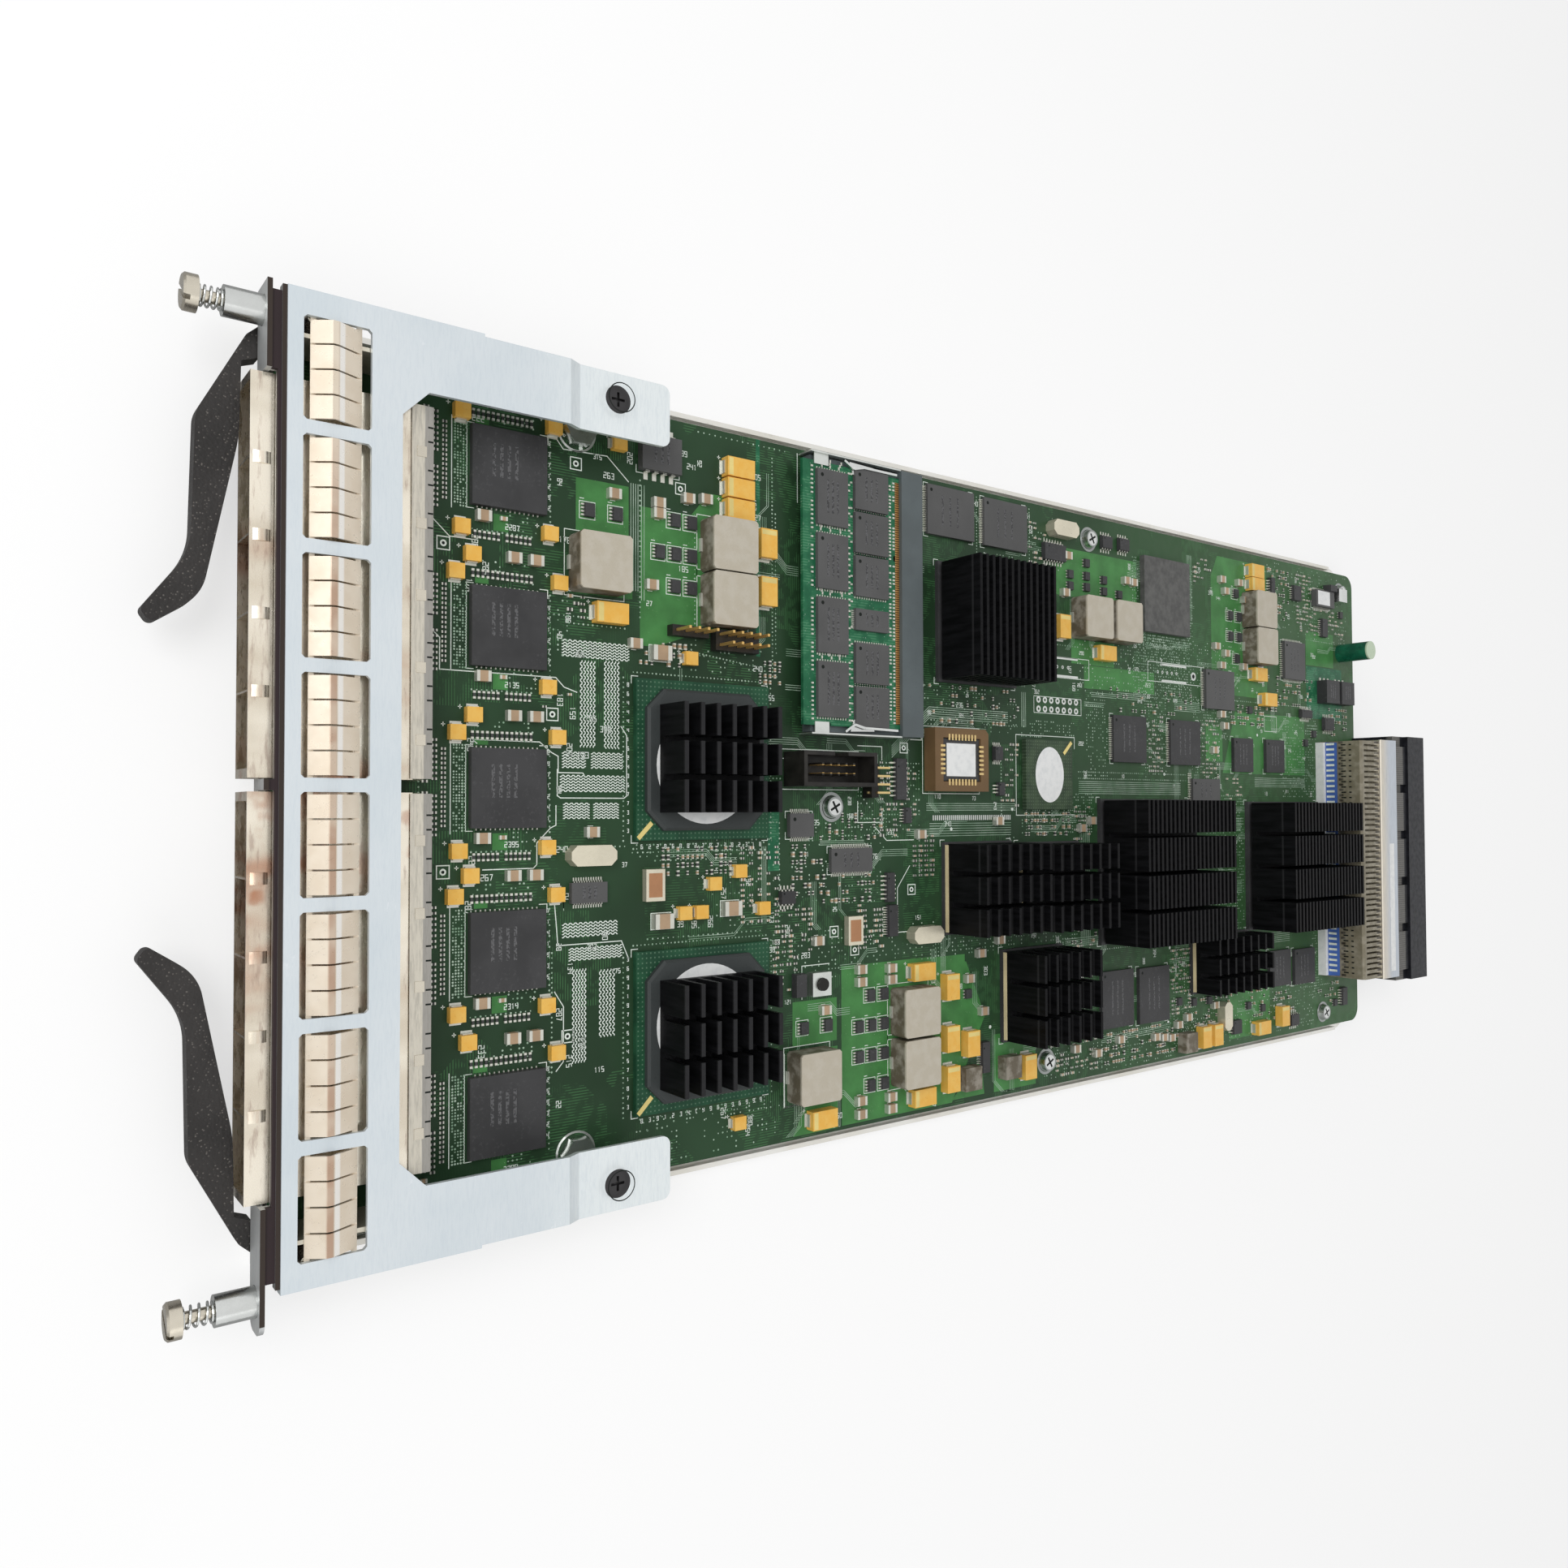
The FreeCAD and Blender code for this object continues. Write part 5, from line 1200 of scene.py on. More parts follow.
def serpentine(shape, x0, x1, y0, y1, lines, along, width):
    """Length-matched lines: each swings from side to side as it runs."""
    lane = ((x1 - x0) if along == "y" else (y1 - y0)) / lines
    start, end = (y0, y1) if along == "y" else (x0, x1)
    low = x0 if along == "y" else y0
    for i in range(lines):
        middle = low + (i + 0.5) * lane
        path = []
        spot = start
        side = 1
        while spot < end:
            for step in (0.0, 0.34):
                a = middle + side * lane * 0.24
                b = min(end, spot + step)
                path.append((a, b) if along == "y" else (b, a))
            spot += 0.62
            side = -side
        shape.ribbon(path, width, 0.03)


# ---- the pieces, one operator each ----------------------------------------------------------------
class CARD_OT_finishes(bpy.types.Operator):
    """Give every machined and moulded piece its own finish"""
    bl_idname = "card.finishes"
    bl_label = "Finishes"

    def execute(self, context):
        for node, made in frame["nodes"].items():
            name = NODE_FINISH.get(node) or ("anodised_black" if node.startswith("heat_sink") else None)
            if name is None:
                raise RuntimeError("no finish is chosen for " + node)
            if not made.material_slots:
                made.data.materials.append(finish(name))
            for slot in made.material_slots:
                slot.material = finish(name)
        return {"FINISHED"}


class CARD_OT_pours(bpy.types.Operator):
    """Lay the wide copper areas under the green mask"""
    bl_idname = "card.pours"
    bl_label = "Copper pours"

    def execute(self, context):
        shape = Shape()
        for count, outline in enumerate(POURS):
            # each a hair higher than the last, so that none share a plane
            shape.flat(anticlockwise(outline), 0.008 + count * 0.0004)
        for middle, _ in PORT_CHIPS:
            shape.patch(middle + 9.6, middle + 13.2, 48.2, 51.6, 0.012)
            shape.patch(middle - 10.6, middle - 9.2, 44.2, 47.2, 0.012)
        shape.patch(45.8, 49.2, 144.2, 189.4, 0.014)
        shape.piece("copper_pours", "poured_copper")
        band = Shape()
        band.patch(-88, -33.5, 117.0, 118.2, 0.012)
        band.patch(-50, -30, 374.0, 400.0, 0.010)
        band.patch(2, 20, 120.4, 124.0, 0.010)
        band.piece("shaded_pours", "module_mask")
        return {"FINISHED"}


class CARD_OT_traces(bpy.types.Operator):
    """Draw the matched serpentine lines and the fine parallel runs"""
    bl_idname = "card.traces"
    bl_label = "Traces"

    def execute(self, context):
        width = sizes().trace / MM
        bright = Shape()
        for x0, x1, y0, y1, lines, along in BUNDLES:
            serpentine(bright, x0, x1, y0, y1, lines, along, width * 1.15)
        bright.piece("serpentine_lines", "legend")
        soft = Shape()
        for *path, count, across, along in TRACE_RUNS:
            for i in range(count):
                soft.ribbon([(x + i * across, y + i * along) for x, y in path], width * 0.8, 0.022)
        dice = random.Random(sizes().seed + 3)
        for _ in range(120):
            x = dice.uniform(-84, 80)
            y = dice.uniform(84, 396)
            run = dice.uniform(5, 16)
            bend = dice.choice((-1, 1)) * dice.uniform(1.5, 4)
            long = dice.random() < 0.6
            lines = dice.choice((2, 3, 4, 5))
            for i in range(lines):
                step = i * 0.55
                if long:
                    turned = y + run + abs(bend)
                    path = [(x + step, y), (x + step, y + run), (x + step + bend, turned),
                            (x + step + bend, turned + run * 0.6)]
                else:
                    path = [(x, y + step), (x + run, y + step), (x + run + abs(bend), y + step + bend)]
                inside = [(max(-87, min(87, a)), max(34, min(406, b))) for a, b in path]
                soft.ribbon(inside, width * 0.6, 0.018)
        soft.piece("fine_traces", "seen_trace")
        return {"FINISHED"}


class CARD_OT_legend(bpy.types.Operator):
    """Print the white outlines, guide lines, test point marks and part numbers"""
    bl_idname = "card.legend"
    bl_label = "Legend"

    def execute(self, context):
        line = legend_width()
        shape = Shape()
        dice = random.Random(sizes().seed)
        for path in LEGEND_LINES:
            shape.ribbon(path, line * 1.15)
        for x0, x1, y0, y1 in LEGEND_FRAMES:
            shape.frame(x0, x1, y0, y1)
        for middle, chip in PORT_CHIPS:
            x0, x1, y0, y1 = chip[:4]
            shape.ribbon([(x0 - 1.4, 39.0), (x1 + 1.2, 39.0)], line)
            left, right, low = x0 - 0.6, x1 + 0.6, y0 - 0.6
            shape.ribbon([(left, y0 + 1), (left, low), (right, low), (right, y0 + 1)], line * 0.8)
            shape.ribbon([(x0 - 0.9, y1 - 1), (x0 - 0.9, y1 + 0.9), (x0 + 1, y1 + 0.9)], line)
            for i in range(7):
                shape.number(dice.randint(1, 9), x0 + 1.0 + i * 2.4, y1 + 1.0, 0.8)
            shape.number(dice.randint(2100, 2400), middle + 12.6, 51.0, 1.1)
            shape.number(dice.randint(10, 99), x0 + 8, y1 + 3.2, 1.1, False)
        for x, y in TEST_POINTS:
            shape.box_frame(x, y, 1.35, 1.35, 0.24)
            shape.ring(x, y, TEST_HOLE, 0.72, PRINT)
        for x, y in FIELD_EFFECT:
            shape.box_frame(x, y, 1.95, 1.95)
            shape.ribbon([(x - 2.6, y - 1.9), (x - 2.6, y - 0.8)], line)
        for x, y in BIG_CERAMICS:
            shape.box_frame(x, y, 1.9, 2.7)
        for x, y in CERAMICS:
            for side in (x - 1.35, x + 1.35):
                shape.ribbon([(side, y - 0.7), (side, y + 0.7)], line * 0.8)
        for b in bricks("tantalum_capacitors"):
            x, y = centre(b)
            if dice.random() < 0.8:
                away = (b[3] - b[2]) / 2 + 1.0
                shape.number(dice.randint(160, 290), x + 1.2, y + away, None, dice.random() < 0.4)
            shape.ribbon([(b[0] - 0.5, b[2] - 0.9), (b[0] + 0.4, b[2] - 0.9)], line)
            shape.ribbon([(b[0] - 0.05, b[2] - 1.35), (b[0] - 0.05, b[2] - 0.45)], line)
        for node in ("switch_chip_bases", "memory_chips", "flash_chips", "logic_chips", "sink_chips"):
            for x0, x1, y0, y1, z0, z1 in bricks(node):
                if z0 > 0.1 or (x1 - x0) < 6:
                    continue
                m = 0.55
                for cy, sy in ((y0 - m, 1.8), (y1 + m, -1.8)):
                    for cx, sx in ((x0 - m, 1.8), (x1 + m, -1.8)):
                        shape.ribbon([(cx + sx, cy), (cx, cy), (cx, cy + sy)], line)
                shape.number(dice.randint(10, 99), x0 + 3.0, y1 + 1.1)
        for b in bricks("switch_chip_bases"):
            for i in range(17):
                shape.number(dice.randint(1, 9), b[0] + 2 + i * 2.1, b[2] - 1.6, 0.8)
                shape.number(dice.randint(1, 9), b[1] + 1.9, b[2] + 2 + i * 2.1, 0.9)
        for _ in range(430):
            x = dice.uniform(-84, 82)
            y = dice.uniform(64, 400)
            if not covered(x, y, 1.6) and not covered(x, y + 3, 1.0):
                shape.number(dice.randint(10, 399), x, y, dice.choice((1.0, 1.1, 1.25)), dice.random() < 0.6)
        for x, y in SILK_DOTS:
            shape.disc(x, y, 0.5, PRINT)
        shape.piece("legend_print", "legend")
        # dark discs in the test points and plated holes: painted shade
        holes = Shape()
        for x, y in TEST_POINTS:
            holes.disc(x, y, TEST_HOLE, 0.032)
        for x, y, r in HOLES:
            holes.disc(x, y, r, 0.032)
        holes.piece("plated_holes", "dark_hole")
        rings = Shape()
        for x, y, r in HOLES:
            rings.ring(x, y, r, r + 0.7, 0.034)
        for i in range(7):
            for x in (-28.6, -25.8):
                rings.ring(x, 221.6 + i * 2.9, 0.42, 1.0, 0.034, 12)
        for x, y0 in ((-41.2, 281.0), (-39.2, 225.0)):
            for i in range(5):
                rings.ring(x, y0 + i * 2.6, 0.25, 0.55, 0.034, 10)
        rings.piece("hole_rings", "tin")
        bars = Shape()
        for x, y0 in ((-43.8, 283.0), (-38.4, 283.0), (-42.0, 226.0), (-36.4, 226.0)):
            bars.patch(x - 0.35, x + 0.35, y0, y0 + 14.0, PRINT)
        for i in range(40):
            bars.patch(6.3, 7.7, 177.2 + i * 0.8, 177.6 + i * 0.8, PRINT)
        for b in bricks("hex_nuts"):
            bars.ring(*centre(b), 4.3, 4.8, PRINT, 32)
        bars.piece("bare_bars", "tin")
        return {"FINISHED"}


class CARD_OT_vias(bpy.types.Operator):
    """Set the rows and fields of small plated vias"""
    bl_idname = "card.vias"
    bl_label = "Vias"

    def execute(self, context):
        dice = random.Random(sizes().seed + 1)
        spots = []
        for _, chip in PORT_CHIPS:
            spots += scattered(dice, chip[0] - 0.5, chip[1] + 0.5, 39.7, 42.3, 0.62, 0.72)
            spots += dotted(chip[0] - 1, 32.3, chip[1] + 2, 32.3, 1.15)
            spots += dotted(chip[0] - 1, 61.4, chip[1] + 1, 61.4, 1.2)
            spots += dotted(chip[1] + 5, 43.5, chip[1] + 5, 57.0, 1.1)
            spots += scattered(dice, chip[1] + 1, chip[1] + 4.0, 52.0, 58.0, 1.0, 0.4)
            spots += scattered(dice, chip[0] - 5.6, chip[0] - 1.2, 44.0, 58.0, 0.95, 0.3)
        for b in bricks("switch_chip_bases"):
            spots += dotted(b[0], b[2] - 2.6, b[1], b[2] - 2.6, 1.15)
            spots += dotted(b[0] - 1.4, b[2], b[0] - 1.4, b[3], 1.0)
            spots += dotted(b[0], b[3] + 1.6, b[1], b[3] + 1.6, 1.3)
            spots += scattered(dice, b[1] + 1, b[1] + 4, b[2], b[3], 0.9, 0.35)
        for line in VIA_ROWS:
            spots += dotted(*line)
        for field in VIA_FIELDS:
            spots += scattered(dice, *field)
        spots = [(x, y) for x, y in spots if abs(x) < 87 and not covered(x, y, 0.1)]
        places = [(x, y, 0.0, 0.0, (dice.choice((0.75, 1.0, 1.15)),) * 2 + (1.0,)) for x, y in spots]
        pattern = Pattern("Via field", {"Radius": sizes().via / MM, "Height": 0.035})
        pad = pattern.stub(*pattern.inputs.values(), 6)
        pattern.lay("vias", pad, places, "seen_trace", "main_board")
        return {"FINISHED"}


def two_ended(name, places, long, wide, high, end, body, slot):
    """A row part of ceramic or resin between two tinned ends, laid along X until it is turned."""
    middle = Pattern(name + " bodies", {"Length": long, "Width": wide, "Height": high, "End": end})
    inner = middle.sum("SUBTRACT", middle.inputs["Length"], middle.inputs["End"])
    brick = middle.block(inner, middle.inputs["Width"], middle.inputs["Height"])
    middle.lay(name + "_bodies", brick, places, body, slot)
    caps = Pattern(name + " ends", {"Length": long, "Width": wide + 0.03, "Height": high + 0.02, "End": end})
    reach = caps.sum("MULTIPLY", caps.sum("SUBTRACT", caps.inputs["Length"], caps.inputs["End"]), 0.5)
    back = caps.sum("MULTIPLY", reach, -1.0)
    cap = [caps.inputs[k] for k in ("End", "Width", "Height")]
    pair = caps.joined(caps.block(*cap, reach), caps.block(*cap, back))
    caps.lay(name + "_ends", pair, places, "lead_tin", slot)


class CARD_OT_small_parts(bpy.types.Operator):
    """Place the rows of the smallest resistors and capacitors"""
    bl_idname = "card.small_parts"
    bl_label = "Small parts"

    def execute(self, context):
        dice = random.Random(sizes().seed + 2)
        resistors = []
        capacitors = []
        for _, chip in PORT_CHIPS:
            left, right = chip[:2]
            resistors += row(left - 2.7, 43.6, 13, 0, 1.1, 0, (1.8, 1.1, 1.2))
            if right < LAST_CHIP:
                for y in (44.0, 51.2):
                    resistors += row(right + 6.1, y, 6, 0, 1.05, 0, (1.7, 1.1, 1.2))
                capacitors += row(right + 2.0, 50.4, 1, 0, 0, 90, (1.6, 1.6, 1.4))
            resistors += row(left + 0.4, 37.4, 17, 1.0, 0, 90)
            for x, y, count, grow in ((-2.0, 33.5, 9, (1.25, 1.1, 1)), (9.6, 33.5, 8, (1.25, 1.1, 1)),
                                      (-1.4, 35.5, 8, (1.1, 1.0, 1)), (10.2, 35.5, 8, (1.1, 1.0, 1))):
                resistors += row(left + x, y, count, 1.15, 0, 90, grow)
            capacitors += row(right + 2.6, 33.6, 3, 1.5, 0, 90, (1.5, 1.5, 1.3))
        for x0, x1, y0, y1, dx, dy, kept, turn in CLUSTERS:
            y = y0
            while y <= y1:
                x = x0
                while x <= x1:
                    if dice.random() < kept and not covered(x, y, 0.55) and abs(x) < 86:
                        big = dice.choice((1.0, 1.0, 1.0, 1.35))
                        target = resistors if dice.random() < 0.6 else capacitors
                        target.append((x, y, 0.0, turn, (big, big, big)))
                    x += dx
                y += dy
        long = sizes().chip_length / MM
        two_ended("small_resistors", resistors, long, 0.5, 0.35, long * 0.27, "resistor", "logic_chips")
        two_ended("small_capacitors", capacitors, long, 0.52, 0.5, long * 0.27, "ceramic", "logic_chips")
        return {"FINISHED"}


class CARD_OT_ceramic_capacitors(bpy.types.Operator):
    """Place the larger brown ceramic capacitors"""
    bl_idname = "card.ceramic_capacitors"
    bl_label = "Ceramic capacitors"

    def execute(self, context):
        places = [(x, y, 0.0, 90.0, ONE) for x, y in CERAMICS]
        for middle, chip in PORT_CHIPS:
            if chip[1] < LAST_CHIP:
                beside = ((10.6, 45.7), (18.7, 52.6), (18.7, 57.7))
                places += [(middle + x, y, 0.0, 90.0, ONE) for x, y in beside]
        places += [(x, y, 0.0, 90.0, (1.55, 1.5, 1.2)) for x, y in BIG_CERAMICS]
        two_ended("ceramic_capacitors", places, 3.2, 2.3, 1.6, 0.7, "ceramic", "tantalum_capacitors")
        return {"FINISHED"}


def gull_lead(pattern, width, foot, height):
    """A lead that leaves a body at height and steps down to a foot on the board, reaching out along +X."""
    thick = 0.16 * MM
    return pattern.joined(
        pattern.block(foot, width, thick, pattern.sum("MULTIPLY", foot, 0.5)),
        pattern.block(thick, width, height, 0.0),
        pattern.block(0.5 * MM, width, thick, -0.25 * MM, 0.0, pattern.sum("SUBTRACT", height, thick)))


def side_leads(x0, x1, y0, y1, side, count, pitch):
    """Places for leads on two opposite sides of a body, or on all four."""
    cx, cy = (x0 + x1) / 2, (y0 + y1) / 2
    places = []
    for i in range(count):
        step = (i - (count - 1) / 2) * pitch
        if side in ("x", "xy"):
            places += [(x1 + 0.3, cy + step, 0.0, 0.0, ONE), (x0 - 0.3, cy + step, 0.0, 180.0, ONE)]
        if side in ("y", "xy"):
            places += [(cx + step, y1 + 0.3, 0.0, 90.0, ONE), (cx + step, y0 - 0.3, 0.0, -90.0, ONE)]
    return places


class CARD_OT_packages(bpy.types.Operator):
    """Make the small outline packages and transistors with their bodies"""
    bl_idname = "card.packages"
    bl_label = "Small packages"

    def execute(self, context):
        shape = Shape()
        for x, y, wide, long, *_ in SMALL_OUTLINES:
            shape.box_slab(x, y, wide / 2, long / 2, 0.12, 1.45, 0.14)
        for x, y in FIELD_EFFECT:
            shape.slab(x - 1.6, x + 1.6, y - 0.95, y + 1.6, 0.1, 1.0, 0.1)
        for x, y in SMALL_DARK:
            shape.box_slab(x, y, 1.35, 1.2, 0.1, 1.0, 0.1)
        shape.slab(46.2, 52.2, 127.8, 131.4, 0.0, 1.9, 0.15)
        shape.slab(-82.4, -79.6, 387.4, 392.6, 0.0, 3.0, 0.2)
        shape.piece("small_packages", "epoxy")
        choke = Shape()
        choke.slab(-81.6, -76.0, 393.0, 399.6, 0.0, 3.2, 0.3)
        choke.piece("shielded_coil", "bright_zinc")
        places = []
        for x, y in FIELD_EFFECT:
            places += row(x - 1.2, y - 1.32, 4, 0.8, 0, -90.0, (1.2, 1.0, 1.6))
        for x, y in SMALL_DARK:
            for i in range(3):
                places += [(x - 0.9 + i * 0.9, y + side * 1.35, 0.0, side * 90.0, ONE) for side in (-1, 1)]
        lay_blocks("transistor_leads", (0.6, 0.4, 0.3), places, "lead_tin", "logic_chips")
        return {"FINISHED"}


class CARD_OT_leads(bpy.types.Operator):
    """Put tinned leads on the moulded chips"""
    bl_idname = "card.leads"
    bl_label = "Chip leads"

    def execute(self, context):
        wide = []
        fine = []
        for x, y, w, l, side, count, pitch in SMALL_OUTLINES:
            leads = wide if pitch > 0.9 else fine
            leads += side_leads(x - w / 2, x + w / 2, y - l / 2, y + l / 2, side, count, pitch)
        for x0, x1, y0, y1, *_ in bricks("logic_chips"):
            box = (x0, x1, y0, y1)
            if y0 < 90 and x0 < -70:
                wide += [spot[:4] + ((1.7, 2.6, 1.5),) for spot in side_leads(*box, "x", 4, 2.3)]
            elif x1 - x0 > 13.5 and y1 - y0 < 15:
                fine += side_leads(*box, "xy", 17, 0.75)
            elif y1 - y0 > 16:
                fine += side_leads(*box, "y", 20, 0.6)
            else:
                fine += side_leads(*box, "x", max(6, round((y1 - y0 - 1.2) / 0.62)), 0.62)
        for box in bricks("flash_chips"):
            fine += side_leads(*box[:4], "y", 26, 0.5)
        for box in bricks("memory_chips"):
            if box[2] < 320 and box[0] < 0:
                fine += side_leads(*box[:4], "y", 22, 0.62)
        for name, size, places in (("wide_leads", (sizes().lead_width / MM, 1.0, 0.9), wide),
                                   ("fine_leads", (0.26, 0.8, 0.6), fine)):
            pattern = Pattern(name, dict(zip(("Width", "Foot", "Height"), size)))
            lead = gull_lead(pattern, *pattern.inputs.values())
            pattern.lay(name, lead, places, "lead_tin", "logic_chips")
        module = []
        for x0, x1, y0, y1, z0, z1 in bricks("dimm_chips"):
            if x1 - x0 < 8:
                for i in range(int((x1 - x0) / 0.5) - 1):
                    module += [(x0 + 0.6 + i * 0.5, y, z0, 0.0, (1, 1.6, 1)) for y in (y0 - 0.4, y1 + 0.4)]
                continue
            count = round((y1 - y0) / 0.8)
            for i in range(count):
                y = y0 + 0.4 + i * (y1 - y0 - 0.8) / max(1, count - 1)
                module += [(x0 - 0.3, y, z0, 90.0, ONE), (x1 + 0.3, y, z0, 90.0, ONE)]
        lay_blocks("module_leads", (0.3, 0.5, 0.25), module, "lead_tin", "dimm_chips")
        return {"FINISHED"}


class CARD_OT_capacitor_ends(bpy.types.Operator):
    """Wrap the tantalum capacitors' ends in tin and print their polarity bands"""
    bl_idname = "card.capacitor_ends"
    bl_label = "Capacitor ends"

    def execute(self, context):
        ends = Shape()
        bands = Shape()
        for x0, x1, y0, y1, z0, z1 in bricks("tantalum_capacitors"):
            upright = y1 - y0 >= x1 - x0 and not (y1 - y0 < 4.5 and y0 < 66)
            low, high, side0, side1 = (y0, y1, x0, x1) if upright else (x0, x1, y0, y1)
            long = high - low
            middle = (side0 + side1) / 2
            half = (side1 - side0) * 0.34
            for end, way in ((low, -1), (high, 1)):
                for reach, width, top in ((0.28, half, z1 * 0.55), (0.75, half * 1.1, 0.14)):
                    self.lay(ends, upright, end, end + way * reach, middle - width, middle + width,
                             0.0, top, 0.02)
            if long > 5:
                self.lay(bands, upright, low + 0.35, low + 0.35 + long * 0.16, side0 + 0.25, side1 - 0.25,
                         z1, z1 + 0.012)
        for x0, x1, y0, y1, z0, z1 in bricks("power_inductors"):
            cx = (x0 + x1) / 2
            ends.slab(cx - 1.6, cx + 1.6, y0 - 0.5, y0 + 0.02, 0.0, 1.0, 0.02)
            ends.slab(cx - 2.0, cx + 2.0, y1 - 0.02, y1 + 0.7, 0.0, 0.4, 0.02)
        for x0, x1, y0, y1, z0, z1 in bricks("power_blocks"):
            for y in (y0 + 1.13, y0 + 4.0, y0 + 6.8):
                ends.slab(x0 - 1.2, x0 + 0.1, y, y + 1.0, 0.1, 0.5, 0.02)
        ends.piece("capacitor_terminals", "lead_tin")
        bands.piece("polarity_bands", "ochre")
        return {"FINISHED"}

    def lay(self, shape, upright, start, end, side0, side1, *rest):
        """A slab that runs from start to end along Y when upright, or else along X."""
        start, end = sorted((start, end))
        sides = (side0, side1, start, end) if upright else (start, end, side0, side1)
        shape.slab(*sides, *rest)


class CARD_OT_switch_marks(bpy.types.Operator):
    """Add the white pads under the sinks, the corner bars and the cream tape"""
    bl_idname = "card.switch_marks"
    bl_label = "Chip marks"

    def execute(self, context):
        pads = Shape()
        bars = Shape()
        for x0, x1, y0, y1, z0, z1 in bricks("switch_chip_lids"):
            inward = 1.3 if x0 < 0 else -1.3
            pads.disc((x0 + x1) / 2 + inward, (y0 + y1) / 2 - 0.7, 13.7, z1 + 0.02, 56)
        for x0, x1, y0, y1, z0, z1 in bricks("switch_chip_bases"):
            self.bar(bars, x1 - 0.5, y0 + 0.5, -1, 1, z1)
        for x0, x1, y0, y1, z0, z1 in bricks("control_chips"):
            if x0 > -20:
                self.bar(bars, x0 + 0.4, y1 - 0.4, 1, -1, z1)
                pads.flat(around((x0 + x1) / 2, (y0 + y1) / 2, 8.4, 6.4, 40), z1 + 0.03)
        pads.piece("white_pads", "label")
        bars.piece("corner_bars", "ochre")
        tape = Shape()
        for place in ("queue_front", "queue_rear", "lookup", "clock"):
            x0, x1, y0, y1, z0, z1 = bricks("heat_sink_" + place)[0]
            tape.slab(x0 + 0.3, x1 - 0.3, y0 - 0.35, y0 + 0.6, z0 - 0.9, z0 + 0.15, 0.05)
        tape.piece("thermal_tape", "cream_tape")
        return {"FINISHED"}

    def bar(self, shape, x, y, away_x, away_y, z):
        """A thin bar across a corner, with w as half its width and far as its reach."""
        w = 0.38
        far = 3.6
        corners = [(x + away_x * w, y - away_y * w), (x + away_x * (far + w), y + away_y * (far - w)),
                   (x + away_x * (far - w), y + away_y * (far + w)), (x - away_x * w, y + away_y * w)]
        shape.plate(corners, z, z + 0.06)


class CARD_OT_chip_faces(bpy.types.Operator):
    """Lay the mould dimples as painted shade, and the grey print lines, on the chips' faces"""
    bl_idname = "card.chip_faces"
    bl_label = "Chip faces"

    def execute(self, context):
        print_rows = Shape()
        for node in ("port_chips", "dimm_chips", "logic_chips", "memory_chips", "flash_chips",
                     "power_blocks"):
            for x0, x1, y0, y1, z0, z1 in bricks(node):
                wide, long = x1 - x0, y1 - y0
                if node == "port_chips":
                    for i in range(4):
                        y = y0 + long * (0.26 + i * 0.1)
                        print_rows.patch(x0 + wide * 0.2, x0 + wide * 0.62, y, y + 0.75, z1 + 0.008)
                elif long > 8 or wide > 8:
                    for i in range(3):
                        y = y0 + long * (0.3 + i * 0.16)
                        print_rows.patch(x0 + wide * 0.18, x1 - wide * 0.22, y, y + 0.7, z1 + 0.008)
        print_rows.piece("chip_print", "printed_text")
        # dark discs for the mould dimples: painted shade
        dimples = Shape()
        for node in ("logic_chips", "memory_chips", "flash_chips", "dimm_chips"):
            for x0, x1, y0, y1, z0, z1 in bricks(node):
                if min(x1 - x0, y1 - y0) > 5:
                    dimples.disc(x0 + 1.5, y0 + 1.5, 0.5, z1 + 0.01)
        for x, y, wide, long, *_ in SMALL_OUTLINES:
            dimples.disc(x - wide * 0.3, y - long * 0.3, 0.28, 1.462)
        dimples.piece("mould_dimples", "dark_hole")
        lids = Shape()
        for x0, x1, y0, y1, z0, z1 in bricks("crystals"):
            if z1 < 2.5:
                lids.slab(x0 + 0.9, x1 - 0.9, y0 + 0.7, y1 - 0.7, z1, z1 + 0.05, 0.02)
        lids.piece("oscillator_lids", "warm_lid")
        studs = Shape()
        for x0, x1, y0, y1, z0, z1 in bricks("port_chips"):
            for i in range(14):
                y = y0 + 1.6 + i * (y1 - y0 - 3.2) / 13
                for start in (x1 + 0.05, x0 - 0.45):
                    studs.slab(start, start + 0.4, y - 0.14, y + 0.14, 0.0, 0.35, 0.02)
                x = x0 + 1.6 + i * (x1 - x0 - 3.2) / 13
                studs.slab(x - 0.14, x + 0.14, y1 + 0.05, y1 + 0.4, 0.0, 0.35, 0.02)
        studs.piece("chip_joints", "lead_tin")
        return {"FINISHED"}


